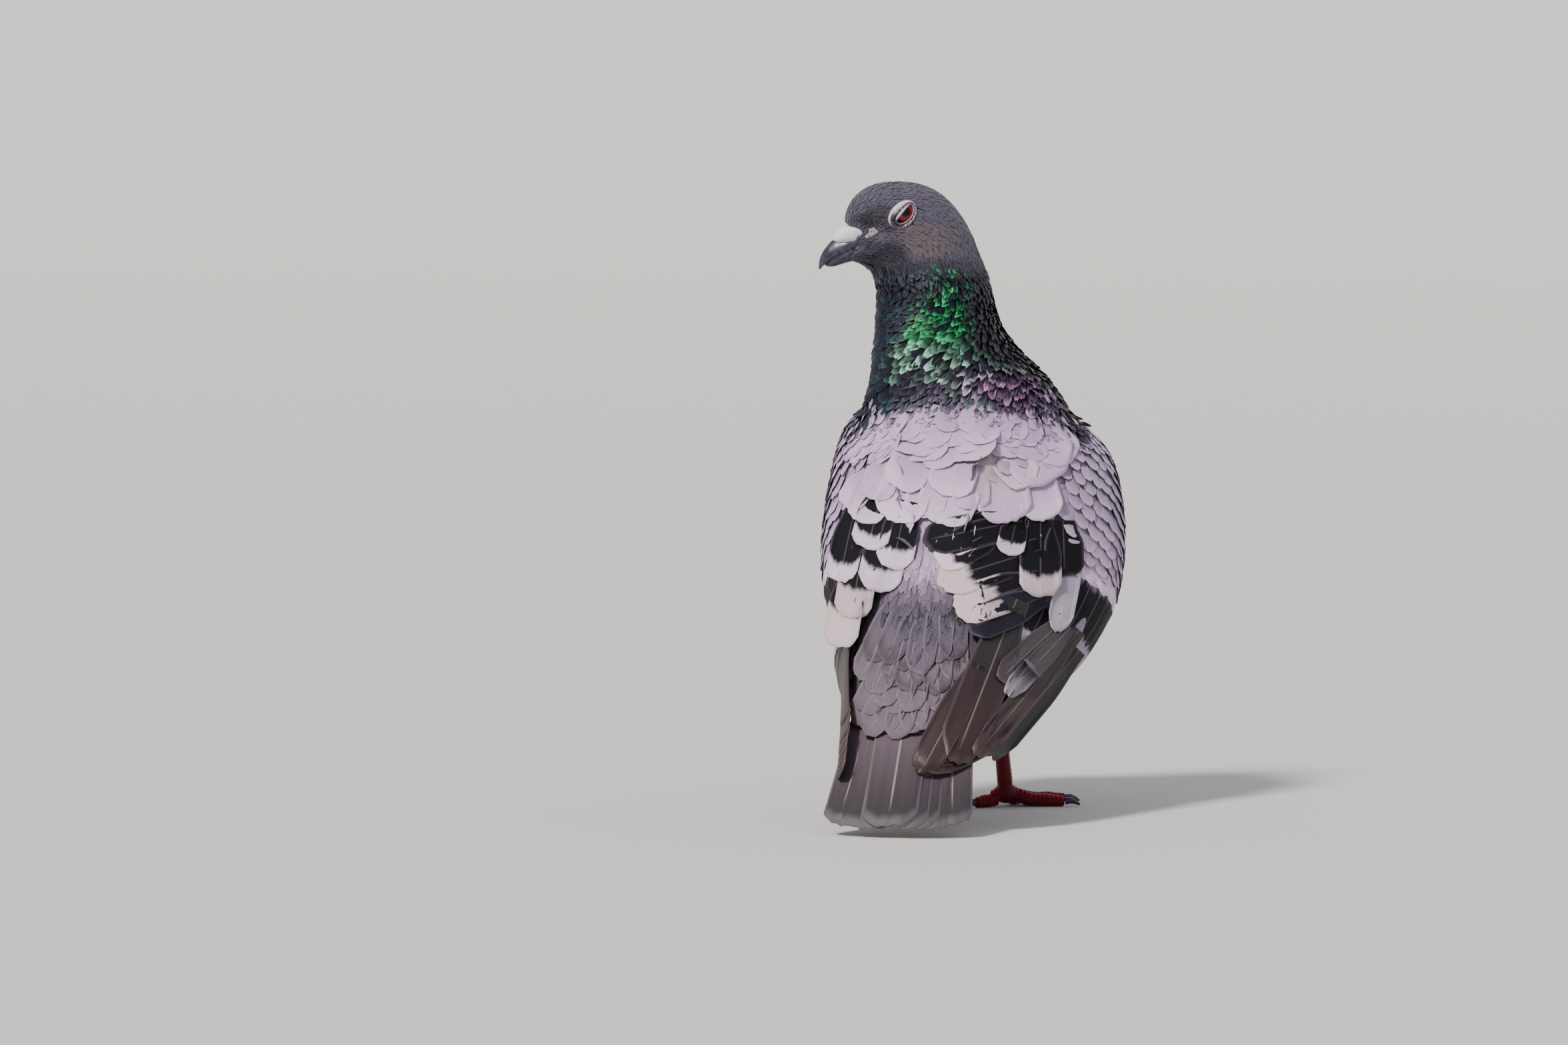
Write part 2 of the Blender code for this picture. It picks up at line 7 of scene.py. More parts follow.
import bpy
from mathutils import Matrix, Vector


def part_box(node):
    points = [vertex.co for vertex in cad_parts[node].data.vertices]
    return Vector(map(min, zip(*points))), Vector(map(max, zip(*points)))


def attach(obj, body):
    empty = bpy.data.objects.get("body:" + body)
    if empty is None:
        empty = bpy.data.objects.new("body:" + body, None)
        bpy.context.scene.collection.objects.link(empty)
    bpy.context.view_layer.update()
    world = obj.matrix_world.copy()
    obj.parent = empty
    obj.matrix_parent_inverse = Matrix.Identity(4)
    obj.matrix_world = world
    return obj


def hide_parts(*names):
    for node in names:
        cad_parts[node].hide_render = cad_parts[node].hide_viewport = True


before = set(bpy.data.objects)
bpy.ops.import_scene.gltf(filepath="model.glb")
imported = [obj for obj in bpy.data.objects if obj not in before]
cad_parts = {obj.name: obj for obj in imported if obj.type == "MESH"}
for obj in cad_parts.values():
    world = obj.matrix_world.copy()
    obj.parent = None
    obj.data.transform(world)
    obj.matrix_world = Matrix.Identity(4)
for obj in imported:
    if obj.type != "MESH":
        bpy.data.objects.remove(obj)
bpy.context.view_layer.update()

import math
from collections import namedtuple

import bmesh
import bpy
import numpy as np
from mathutils import Matrix, Vector, noise
from mathutils.bvhtree import BVHTree
from mathutils.kdtree import KDTree

MM = 0.001
SEED = 41
WEAR = np.random.default_rng(SEED + 1)  # draws the unevenness of each feather's edge

# The body's own sizes in millimetres, as the solids have them.
LEAN = 0.16
HIP_HEIGHT = 60.0
NECK_TOP = 180.5
HEAD_TURN = math.radians(112)
HEAD_PLACE = Vector((10.0, 38.5, 206.5))
EYE_FORWARD = 1.6
EYE_APART = 7.5
EYE_RADIUS = 5.0
THROAT_FORWARD = 20.0
THROAT_DROP = 26.0
TAIL_CENTRE = 2.2
TAIL_TOP_HEIGHT = 66.0
TAIL_SLOPE = 0.75
TAIL_ROOT = -44.0
TAIL_TIP = -127.3
TAIL_HALF_WIDTH = 27.0
TAIL_ROOT_SPREAD = 12.0
TAIL_PAIRS = 6
LEG_APART = 14.5
LEG_CENTRE = 1.9

# The side from which the bird is mostly seen: turned from straight behind it, and a little above it.
VIEW_TURN = math.radians(14.5)
VIEW_RISE = math.radians(3)

# The lids and the opening between them, as (ahead, up) from between the eyes: the slant of their long axes,
# their centres and their half sizes.
LID_AXIS = (-0.75, 0.66)
LID_CENTRE = (3.1, 0.2)
LID_HALF = (6.2, 4.3)
LOWER_LID = 4.6  # how far the bare skin reaches below and behind the eye
OPENING_AXIS = (-0.62, 0.785)
OPENING_CENTRE = (2.4, 0.5)
OPENING_HALF = (4.0, 0.4, 2.5)  # half its length, and how far it opens above and below its axis
GAZE = (0.35, 1.0)  # how far ahead and up of the eyeball's middle it looks
CLEAR_OF_HEAD = 22  # a place this far to one side is outside the head

# How finely the guiding surfaces are drawn.
STEPS_PER_RIB = 6
RING_POINTS = 64
WING_STEPS = 24
SMALL_STATIONS = 5  # points along the middle line of a small feather
LARGE_STATIONS = 9  # and of a large one

SIDES = ((1, "left"), (-1, "right"))

Rib = namedtuple("Rib", "dorsal ventral side taper")

# A kind of feather. In millimetres: its length and width, how deep its root lies, how high its tip stands and
# how far its edges droop. As shares: how rounded its end is, how broad its base is and how ragged its end is.
# rows and columns are its points along and across. A large feather's width is 1 here and given elsewhere.
Vane = namedtuple("Vane", "length width sink lift camber round base rows columns ragged", defaults=(0.03,))

# The colours of some feathers and of their tips, where each one's dark bar starts and ends with its strength,
# and a number that makes each a little different.
Marks = namedtuple("Marks", "plumage tip bar tone")


def lean(height):
    """How far to the left the body is at this height."""
    return LEAN * (min(height, NECK_TOP) - HIP_HEIGHT)


def from_feet(point, leaning=True):
    """A place on the bird as a vector in metres from the point between its feet."""
    left, forward, up = point
    return Vector((left + (lean(up) if leaning else 0.0), -forward, up)) * MM


def eye_place(side):
    """Where an eyeball's centre is. side is 1 for the left eye and -1 for the right."""
    ahead = Vector((math.sin(HEAD_TURN), math.cos(HEAD_TURN), 0.0))
    across = Vector((math.cos(HEAD_TURN), -math.sin(HEAD_TURN), 0.0))
    return HEAD_PLACE + ahead * EYE_FORWARD + across * (EYE_APART * side)


def middle(node):
    """The middle of a solid's bounding box."""
    low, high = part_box(node)
    return (low + high) / 2


ORIGIN = middle("eye_left") - from_feet(eye_place(1))
HEAD_CENTRE = ORIGIN + from_feet(HEAD_PLACE)
HEAD_AHEAD = Vector((math.sin(HEAD_TURN), -math.cos(HEAD_TURN), 0.0))
HEAD_ACROSS = Vector((math.cos(HEAD_TURN), math.sin(HEAD_TURN), 0.0))


def placed(point, leaning=True):
    """A place on the bird as a frame point in metres."""
    return ORIGIN + from_feet(point, leaning)


def on_head(ahead, across, up):
    """A frame point counted from between the eyes, in millimetres along the head's own directions."""
    return HEAD_CENTRE + (HEAD_AHEAD * ahead + HEAD_ACROSS * across + Vector((0, 0, up))) * MM


# ---------------------------------------------------------------------------
# Smooth runs of ribs, as the solids are lofted
# ---------------------------------------------------------------------------


def between(a, b, c, d, t):
    """The Catmull-Rom curve from b to c."""
    return 0.5 * (
        2 * b + (c - a) * t + (2 * a - 5 * b + 4 * c - d) * t * t + (3 * b - a - 3 * c + d) * t**3
    )


def row_at(rows, i):
    """The row at a fractional place along the given ones."""
    last = len(rows) - 1
    k = min(int(i), last - 1)
    four = (rows[max(k - 1, 0)], rows[k], rows[k + 1], rows[min(k + 2, last)])
    return [between(*parts, i - k) for parts in zip(*four)]


def rib(dorsal, ventral, half_width, heading=0.0, place=(0.0, 0.0), taper=0.0):
    """A cross-section of the body. dorsal and ventral are (forward, up) in the plane that faces heading."""
    ahead = Vector((math.sin(heading), math.cos(heading), 0.0))
    side = Vector((math.cos(heading), -math.sin(heading), 0.0))
    foot = Vector((*place, 0.0))
    top = foot + ahead * dorsal[0] + Vector((0, 0, dorsal[1]))
    bottom = foot + ahead * ventral[0] + Vector((0, 0, ventral[1]))
    return Rib(top, bottom, side * half_width, taper)


def fan_rib(angle, inner, outer, half_width, taper):
    """A head section in a plane that swings about the throat: level at the neck, upright at the face."""
    swing = math.radians(angle)
    back, up = -math.cos(swing), math.sin(swing)
    rise = HEAD_PLACE.z - THROAT_DROP
    top = (THROAT_FORWARD + outer * back, outer * up + rise)
    bottom = (THROAT_FORWARD + inner * back, inner * up + rise)
    return rib(top, bottom, half_width, HEAD_TURN, HEAD_PLACE.xy, taper)


def body_ribs():
    """From the ends of the tail coverts over trunk, neck and head to the feathers round the bill."""
    return [
        rib((-91, 33.2), (-87, 29.8), 13, place=(TAIL_CENTRE, 0)),
        rib((-80, 43), (-73, 31.5), 21, place=(TAIL_CENTRE, 0)),
        rib((-62, 58.5), (-49, 33.5), 27, place=(TAIL_CENTRE / 2, 0)),
        rib((-42, 76.5), (-22, 36), 29.5, taper=0.1),
        rib((-22, 95), (8, 38.5), 34.5, taper=0.12),
        rib((-5, 109), (35, 44), 40, taper=0.12),
        rib((8, 120), (59, 58), 43.5, taper=0.12),
        rib((17, 129), (75, 80), 44, taper=0.1),
        rib((22.5, 136.5), (81, 104), 42.5, taper=0.05),
        rib((24.5, 143), (78.5, 128), 37.5, place=(-2.0, 0)),
        rib((-26, 151), (25.5, 145), 31.5, math.radians(14), (-1.5, 50)),
        rib((-23, 160), (23.5, 157.5), 26.0, math.radians(42), (1.2, 46.5)),
        rib((-21.8, 170), (22.2, 169), 21.0, math.radians(76), (1.6, 43.8)),
        fan_rib(0, 9.5, 50.2, 18.8, 0.0),
        fan_rib(14, 9.6, 47.6, 16.9, 0.0),
        fan_rib(28, 9.6, 47.2, 15.0, 0.02),
        fan_rib(42, 9.6, 46.8, 13.6, 0.05),
        fan_rib(54, 9.6, 44.9, 12.8, 0.08),
        fan_rib(65, 9.5, 41.4, 12.0, 0.12),
        fan_rib(75, 9.4, 38.3, 10.9, 0.14),
        fan_rib(84, 9.3, 34.2, 9.4, 0.14),
        fan_rib(90, 9.2, 29.6, 7.9, 0.1),
        fan_rib(94, 9.2, 24.4, 6.4, 0.05),
        fan_rib(98, 10.4, 18.6, 4.2, 0.0),
    ]


def body_grid():
    """Points over the body: rings from tail coverts to bill, each from the back over the left side."""
    ribs = body_ribs()
    rings = []
    for j in range((len(ribs) - 1) * STEPS_PER_RIB + 1):
        dorsal, ventral, side, taper = row_at(ribs, j / STEPS_PER_RIB)
        centre, up = (dorsal + ventral) / 2, (dorsal - ventral) / 2
        ring = []
        for k in range(RING_POINTS):
            angle = 2 * math.pi * k / RING_POINTS
            narrow = 1 - taper * math.cos(angle)
            ring.append(placed(centre + up * math.cos(angle) + side * (math.sin(angle) * narrow)))
        rings.append(ring)
    return np.array(rings)


def wing_rows(side):
    """A folded wing's upper edge, middle and lower edge from wrist to tip, as (forward, out, up)."""
    rows = [
        ((50, 28, 141), (63, 45, 129.5), (74, 38, 115)),
        ((36, 22, 140), (58, 49, 123), (75, 41, 97)),
        ((21, 17, 132.5), (44, 52, 107), (64, 40, 79)),
        ((5, 13, 121), (27, 52.5, 90), (47, 36.5, 65)),
        ((-10, 11, 107.5), (9, 49.5, 74), (23, 34, 52.5)),
        ((-26, 13, 93), (-11, 43.5, 61), (-4, 33, 45)),
    ]
    right_end = [
        ((-42, 19, 78), (-33, 38, 54), (-30, 32, 39)),
        ((-59, 21, 62.5), (-52, 33.5, 47), (-53, 31.5, 32)),
        ((-75, 17.5, 49.5), (-70, 28, 41), (-70, 31, 28)),
        ((-91, 10, 37.5), (-90, 20, 34), (-89, 27, 26.5)),
        ((-101, 5, 29.4), (-101, 12, 27.5), (-100, 18.5, 23.5)),
        ((-107.5, 3, 24.3), (-108, 5, 23.6), (-107.5, 8, 21.8)),
    ]
    left_end = [
        ((-42, 23.5, 77), (-33, 39, 54), (-31, 35, 39)),
        ((-59, 26.5, 59), (-53, 33.5, 46), (-53, 33.5, 33)),
        ((-75, 24.5, 47), (-71, 29.5, 38.5), (-72, 31, 28)),
        ((-91, 21.5, 36.5), (-88, 26.4, 30.5), (-89, 28.4, 23)),
        ((-101, 20.6, 29.4), (-100, 24, 25), (-100, 26.2, 20)),
        ((-107.5, 20.8, 24), (-107.6, 22, 22.2), (-107.4, 23.2, 20.4)),
    ]
    rows += left_end if side > 0 else right_end
    return [[Vector((out * side, forward, up)) for forward, out, up in row] for row in rows]


WING_ROWS = {side: wing_rows(side) for side, _ in SIDES}


def wing_point(side, i, s):
    """A point on a wing's outer face. i counts ribs from the wrist, s runs from upper to lower edge."""
    upper, centre, lower = row_at(WING_ROWS[side], i)
    return placed(upper * (2 * s * s - 3 * s + 1) + centre * (4 * s - 4 * s * s) + lower * (2 * s * s - s))


def wing_frame(side, i, s):
    """The point at (i, s), how it moves with i and with s, and the way out of the wing there."""
    nudge = 0.02
    point = wing_point(side, i, s)
    along = (wing_point(side, i + nudge, s) - wing_point(side, i - nudge, s)) / (2 * nudge)
    across = (wing_point(side, i, s + nudge) - wing_point(side, i, s - nudge)) / (2 * nudge)
    out = across.cross(along).normalized() * side
    return point, along, across, out


# ---------------------------------------------------------------------------
# Colours
# ---------------------------------------------------------------------------


def tint(red, green, blue):
    """A colour given as it looks, from 0 to 255, as the linear value that shaders use."""
    seen = np.array([red, green, blue], float) / 255
    return np.where(seen <= 0.04045, seen / 12.92, ((seen + 0.055) / 1.055) ** 2.4)


def fade(low, high, value):
    """A smooth step from 0 at low to 1 at high."""
    share = np.clip((value - low) / (high - low), 0.0, 1.0)
    return share * share * (3 - 2 * share)


def window(rise, full, fall, gone, value):
    """1 between full and fall, and 0 outside rise and gone."""
    return fade(rise, full, value) * (1 - fade(fall, gone, value))


def mixed(first, second, share):
    """The first colours where share is 0, the second ones where it is 1."""
    share = np.asarray(share)[..., None]
    return first * (1 - share) + second * share


SLATE = tint(84, 77, 96)
LORE = tint(50, 44, 58)
CHEEK = tint(96, 82, 88)
THROAT = tint(40, 35, 50)
NAVY = tint(20, 22, 48)
TEAL = tint(20, 74, 88)
GREEN = tint(38, 196, 116)
MINT = tint(160, 226, 192)
VIOLET = tint(196, 140, 196)
PLUM = tint(92, 76, 106)
HACKLE_GREY = tint(66, 57, 76)
MANTLE = tint(206, 178, 213)
BREAST = tint(94, 88, 108)
BELLY = tint(126, 120, 136)
RUMP = tint(78, 68, 84)
VENT = tint(116, 109, 124)
PALE = tint(226, 202, 225)
BAR = tint(12, 9, 18)
COVERT = tint(192, 168, 201)
TERTIAL = tint(168, 158, 172)
SECONDARY = tint(170, 158, 182)
PRIMARY = tint(28, 20, 27)
RUSTY = tint(50, 28, 31)
TAIL_GREY = tint(104, 87, 98)
TAIL_BAND = tint(42, 34, 40)
CREAM = tint(206, 185, 188)
STORM = tint(28, 28, 42)
TAUPE = tint(66, 54, 63)
ROSY = tint(62, 42, 46)
COVERT_GREY = tint(108, 93, 105)


def above_feet(places):
    """How high places are over the floor, in millimetres."""
    return (places[..., 2] - ORIGIN.z) / MM


def ahead_of_feet(places):
    """How far places are in front of the feet, in millimetres."""
    return -(places[..., 1] - ORIGIN.y) / MM


def head_axes(places):
    """Ahead, across and up from between the eyes, in millimetres."""
    offset = (places - np.array(HEAD_CENTRE)) / MM
    return offset @ np.array(HEAD_AHEAD), offset @ np.array(HEAD_ACROSS), offset[..., 2]


def blob(values, centre, radii):
    """1 in the middle of a soft patch, falling to 0 at its edge."""
    far = sum(((v - c) / r) ** 2 for v, c, r in zip(values, centre, radii))
    return 1 - fade(0.25, 1.0, far)


def head_colour(places):
    """Slate with painted light that makes the crown lighter, dark lores and throat, and a brownish cheek."""
    ahead, _, up = head_axes(places)
    # Painted light: the slate grows lighter towards the crown, as if lit from above.
    colour = mixed(SLATE, SLATE * 1.25, fade(4, 13, up))
    colour = mixed(colour, LORE, 0.85 * blob((ahead, up), (11, -1.5), (8, 6)))
    colour = mixed(colour, CHEEK, 0.9 * blob((ahead, up), (-5, -7.5), (13, 7)))
    return mixed(colour, THROAT, np.maximum(fade(-12, -17, up), blob((ahead, up), (10, -14), (11, 6))))


RIGHT_AND_BACK = np.array((-0.968, -0.25, 0.0))  # the way from which the neck's colours are told apart


def neck_colour(places, normals, chance):
    """The shot colours of the neck by height and facing, with a painted shine where feathers face the
    onlooker.
    """
    up = above_feet(places)
    turn = normals @ RIGHT_AND_BACK
    behind = fade(-0.25, 0.2, normals[..., 1])
    dark = mixed(NAVY, HACKLE_GREY, fade(0.15, 0.7, turn))
    dark = mixed(dark, PLUM, window(128, 138, 150, 158, up) * fade(-0.7, 0.1, turn) * 0.8)
    dark = mixed(dark, TEAL, 0.5 * window(-1.0, -0.8, -0.5, -0.2, turn) * fade(0.5, 0.9, chance))
    lit = mixed(GREEN, MINT, window(146, 153, 160, 168, up))
    lit = mixed(lit, VIOLET, (1 - fade(151, 160, up)) * fade(-0.1, 0.25, turn))
    # Painted highlight: green, mint and violet shine in spots on the feathers that face the onlooker, each
    # with its own painted glint.
    left_edge = -0.62 + 0.62 * fade(150, 186, up)
    centre = fade(left_edge - 0.25, left_edge + 0.15, turn) * (1 - fade(0.4, 0.68, turn))
    centre = centre * window(148, 156, 187, 195, up)
    low = window(-0.15, 0.12, 0.5, 0.75, turn) * window(140, 145, 154, 160, up)
    spots = 0.32 - 0.2 * window(156, 162, 170, 178, up) + 0.3 * fade(174, 188, up)
    shine = np.maximum(centre * fade(spots, spots + 0.2, chance), 0.85 * low * fade(0.45, 0.6, chance))
    shine = shine * behind
    glint = (0.45 + 1.1 * ((chance * 7.31) % 1.0) ** 2)[..., None]
    lit = np.clip(lit * glint, 0, 1)
    # Painted sheen: purple to teal on the feathers that are turned forwards, away from the onlooker.
    front = (1 - behind) * window(95, 120, 178, 190, up)
    sheen = mixed(tint(70, 52, 92), tint(26, 84, 78), fade(128, 160, up))
    colour = mixed(dark, sheen, front * fade(0.25, 0.6, chance))
    return mixed(colour, lit, shine)


def body_colour(places, normals):
    """Mantle, rump, breast and belly, each running into the next."""
    offset = (places - np.array(ORIGIN)) / MM
    forward, up = -offset[..., 1], offset[..., 2]
    above = fade(-0.35, 0.25, normals[..., 1] + 0.5 * normals[..., 2] - 0.25)
    back = mixed(RUMP, MANTLE, fade(82, 100, up))
    back = mixed(TAIL_GREY, back, fade(38, 62, up))
    under = mixed(BELLY, BREAST, fade(20, 70, forward))
    under = mixed(VENT, under, fade(-60, -20, forward))
    return mixed(under, back, above)


def neck_edge(places):
    """How far above the neck's lower edge a place is, in millimetres."""
    offset = (places - np.array(ORIGIN)) / MM
    forward, up = -offset[..., 1], offset[..., 2]
    side = offset[..., 0] / 30
    return up - (142.5 - 0.62 * np.clip(forward - 28, 0, 70) - 3.5 * np.clip(side - 0.5, 0, 1))


def plumage_colour(places, normals, chance=None):
    """The colour of the plumage at each place, for skin and feathers alike."""
    chance = np.full(len(places), 0.6) if chance is None else chance
    up = above_feet(places)
    on_neck = fade(-2.5, 2.5, neck_edge(places))
    colour = mixed(body_colour(places, normals), neck_colour(places, normals, chance), on_neck)
    return mixed(colour, head_colour(places), fade(184, 194, up + 4 * (chance - 0.5)))


# ---------------------------------------------------------------------------
# Materials
# ---------------------------------------------------------------------------


class Finish:
    """One material, with its nodes made and joined by short calls."""

    def __init__(self, name, roughness, **sockets):
        self.material = bpy.data.materials.new(name)
        self.material.use_nodes = True
        self.nodes = self.material.node_tree.nodes
        self.links = self.material.node_tree.links
        self.shader = self.nodes["Principled BSDF"]
        self.shader.inputs["Roughness"].default_value = roughness
        for socket, value in sockets.items():
            self.shader.inputs[socket.replace("_", " ")].default_value = value

    def put(self, socket, value):
        """Links a node's output to a socket, or sets the socket's own value."""
        if isinstance(value, bpy.types.NodeSocket):
            self.links.new(value, socket)
        elif socket.type == "RGBA":
            socket.default_value = (*value, 1.0)
        else:
            socket.default_value = value

    def math(self, operation, first, second=0.0):
        """The output of one sum or function."""
        node = self.nodes.new("ShaderNodeMath")
        node.operation = operation
        self.put(node.inputs[0], first)
        self.put(node.inputs[1], second)
        return node.outputs[0]

    def times(self, first, second):
        """The product of two values."""
        return self.math("MULTIPLY", first, second)

    def plus(self, first, second):
        """The sum of two values."""
        return self.math("ADD", first, second)

    def minus(self, first, second):
        """The first value less the second."""
        return self.math("SUBTRACT", first, second)

    def fade(self, low, high, value):
        """A smooth step from 0 at low to 1 at high."""
        node = self.nodes.new("ShaderNodeMapRange")
        node.interpolation_type = "SMOOTHSTEP"
        self.put(node.inputs["Value"], value)
        self.put(node.inputs["From Min"], low)
        self.put(node.inputs["From Max"], high)
        return node.outputs["Result"]

    def mix(self, share, first, second, blend="MIX"):
        """The first colour where share is 0, the second one where it is 1."""
        node = self.nodes.new("ShaderNodeMix")
        node.data_type = "RGBA"
        node.blend_type = blend
        self.put(node.inputs["Factor"], share)
        self.put(node.inputs[6], first)
        self.put(node.inputs[7], second)
        return node.outputs[2]

    def vector(self, x, y, z):
        """Three values as one vector."""
        node = self.nodes.new("ShaderNodeCombineXYZ")
        for socket, value in zip(node.inputs, (x, y, z)):
            self.put(socket, value)
        return node.outputs[0]

    def split(self, vector):
        """A vector's three values."""
        node = self.nodes.new("ShaderNodeSeparateXYZ")
        self.put(node.inputs[0], vector)
        return node.outputs

    def attribute(self, name, output="Color"):
        """What the mesh stores under this name."""
        node = self.nodes.new("ShaderNodeAttribute")
        node.attribute_name = name
        return node.outputs[output]

    def uv(self, name):
        """A place on this UV map."""
        node = self.nodes.new("ShaderNodeUVMap")
        node.uv_map = name
        return node.outputs[0]

    def place(self):
        """A place on the bird, in metres."""
        return self.nodes.new("ShaderNodeTexCoord").outputs["Object"]

    def noise(self, vector, scale, detail=3.0, roughness=0.5):
        """Soft cloudy values round 0.5."""
        node = self.nodes.new("ShaderNodeTexNoise")
        self.put(node.inputs["Vector"], vector)
        self.put(node.inputs["Scale"], scale)
        self.put(node.inputs["Detail"], detail)
        self.put(node.inputs["Roughness"], roughness)
        return node.outputs["Fac"]

    def bump(self, height, strength, distance):
        """Lets a height stand out of the surface."""
        node = self.nodes.new("ShaderNodeBump")
        self.put(node.inputs["Height"], height)
        self.put(node.inputs["Strength"], strength)
        self.put(node.inputs["Distance"], distance)
        self.links.new(node.outputs[0], self.shader.inputs["Normal"])

    def brighten(self, colour, amount):
        """The colour times a grey amount."""
        grey = self.vector(amount, amount, amount)
        return self.mix(1.0, colour, grey, "MULTIPLY")

    def paint(self, colour):
        """Gives the shader its colour, and gives back the material."""
        self.put(self.shader.inputs["Base Color"], colour)
        return self.material


def skin_finish():
    """The down between the feathers: the plumage's own colours, a little darker, with a soft fine nap."""
    made = Finish("down", 0.85, Sheen_Weight=0.2)
    place = made.place()
    fine = made.noise(place, 900.0, 4.0)
    colour = made.brighten(made.attribute("Plumage"), made.fade(-0.9, 1.3, fine))
    made.bump(fine, 0.6, 0.0004)
    return made.paint(colour)


def vane_finish(name, shade, rim, shaft, streak, roughness, soft=0.025, **sockets):
    """A feather's web: barbs in fine slanting streaks, a shaft, a worn rim, and a bar and tip where marked.

    shade is how much painted shade darkens its lower part under the feathers over it, and where that ends and
    starts.
    rim and shaft are each a strength and a colour. streak is how strong the barbs are. soft is half the width
    of the tip's edge.
    """
    made = Finish(name, roughness, **sockets)
    across, along, _ = made.split(made.uv("Vane"))
    tone = made.attribute("Tone", "Fac")
    off = made.times(made.math("ABSOLUTE", made.minus(across, 0.5)), 2.0)
    slant = made.minus(made.times(along, 34.0), made.times(off, 9.0))
    shift = made.times(tone, 57.0)
    barbs = made.noise(made.vector(slant, made.plus(across, shift), shift), 2.2, 3.0, 0.65)
    wobble = made.noise(made.vector(made.times(across, 5.0), shift, 0.0), 1.6, 2.0)
    worn = made.plus(along, made.times(made.minus(wobble, 0.5), 0.16))
    worn = made.plus(worn, made.times(made.minus(barbs, 0.5), 0.05))
    start, end, strength = made.split(made.attribute("Bar", "Vector"))
    past = made.fade(made.minus(end, soft), made.plus(end, soft), worn)
    inside = made.fade(made.minus(start, 0.05), made.plus(start, 0.05), worn)
    colour = made.mix(past, made.attribute("Plumage"), made.attribute("Tip"))
    band = made.times(made.times(inside, made.minus(1.0, past)), strength)
    colour = made.mix(band, colour, BAR)
    depth, dark, bright = shade
    # Painted shade: each web grows darker towards its root, as if shadowed by the feathers that overlap it.
    root_shadow = made.minus(1.0, made.times(made.fade(bright, dark, worn), depth))
    light = made.plus(made.times(barbs, streak * 2), 1.0 - streak)
    colour = made.brighten(colour, made.times(root_shadow, light))
    edge = made.math("MAXIMUM", made.fade(0.84, 1.0, off), made.fade(0.93, 1.0, along))
    colour = made.mix(made.times(edge, rim[0]), colour, rim[1])
    quill = made.times(made.fade(0.055, 0.02, off), made.fade(0.95, 0.8, along))
    colour = made.mix(made.times(quill, shaft[0]), colour, shaft[1])
    made.bump(made.plus(barbs, quill), 0.35, 0.0002)
    return made.paint(colour)


# ---------------------------------------------------------------------------
# Surfaces that the feathers are laid on
# ---------------------------------------------------------------------------


SMOOTHINGS = 6
SKIN_VOXEL = 1.4
LEG_VOXEL = 0.32
FINE_VOXEL = 0.16  # of the claws and the gape
BRIDGE_VOXEL = 1.8
BRIDGE_PROUD = 0.7  # how far a bridged surface is left standing off the solids


def only(piece):
    """Selects this piece alone and makes it active."""
    bpy.ops.object.select_all(action="DESELECT")
    piece.select_set(True)
    bpy.context.view_layer.objects.active = piece


def new_object(name, mesh):
    """An object of this name and data, in the scene."""
    made = bpy.data.objects.new(name, mesh)
    bpy.context.scene.collection.objects.link(made)
    return made


def copied(name, nodes, swell):
    """One object from copies of these solids, each merged and moved outwards by swell millimetres."""
    shape = bmesh.new()
    for node in nodes:
        part = bmesh.new()
        part.from_mesh(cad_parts[node].data)
        bmesh.ops.remove_doubles(part, verts=part.verts, dist=1e-6)
        part.normal_update()
        for vertex in part.verts:
            vertex.co += vertex.normal * swell * MM
        mesh = bpy.data.meshes.new("part")
        part.to_mesh(mesh)
        part.free()
        shape.from_mesh(mesh)
        bpy.data.meshes.remove(mesh)
    mesh = bpy.data.meshes.new(name)
    shape.to_mesh(mesh)
    shape.free()
    return new_object(name, mesh)


def applied(piece, kind, **settings):
    """Adds a modifier to the piece and applies it."""
    only(piece)
    modifier = piece.modifiers.new(kind.lower(), kind)
    for setting, value in settings.items():
        setattr(modifier, setting, value)
    bpy.ops.object.modifier_apply(modifier=modifier.name)


def remeshed(piece, voxel, rounds):
    """Draws a piece anew with even faces, and smooths it."""
    applied(piece, "REMESH", mode="VOXEL", voxel_size=voxel * MM, use_smooth_shade=True)
    applied(piece, "SMOOTH", factor=0.5, iterations=rounds)
    return piece


def fused(name, nodes, voxel, rounds=SMOOTHINGS, swell=0.25):
    """The union of these solids as one even, smooth mesh with no seam."""
    return remeshed(copied(name, nodes, swell), voxel, rounds)


def bridged(name, nodes, reach):
    """The union of these solids with every groove narrower than twice reach filled over."""
    made = fused(name, nodes, BRIDGE_VOXEL, swell=reach)
    places, normals = vertex_arrays(made.data)
    move_points(made.data, places - normals * (reach - BRIDGE_PROUD) * MM)
    applied(made, "SMOOTH", factor=0.5, iterations=SMOOTHINGS)
    return made


def tree_of(piece):
    """The piece's surface, to find places on."""
    corners = [vertex.co.copy() for vertex in piece.data.vertices]
    return BVHTree.FromPolygons(corners, [tuple(face.vertices) for face in piece.data.polygons])


def vertex_arrays(mesh):
    """Where a mesh's points are, and the ways out there."""
    places = np.zeros(len(mesh.vertices) * 3, np.float32)
    normals = np.zeros(len(mesh.vertices) * 3, np.float32)
    mesh.vertices.foreach_get("co", places)
    mesh.vertices.foreach_get("normal", normals)
    return places.reshape(-1, 3).astype(float), normals.reshape(-1, 3).astype(float)


def move_points(mesh, places):
    """Puts a mesh's points at these places."""
    mesh.vertices.foreach_set("co", places.astype(np.float32).ravel())
    mesh.update()


def float_attribute(mesh, name, values):
    """Stores one number for each vertex."""
    mesh.attributes.new(name, "FLOAT", "POINT").data.foreach_set("value", np.asarray(values, np.float32))


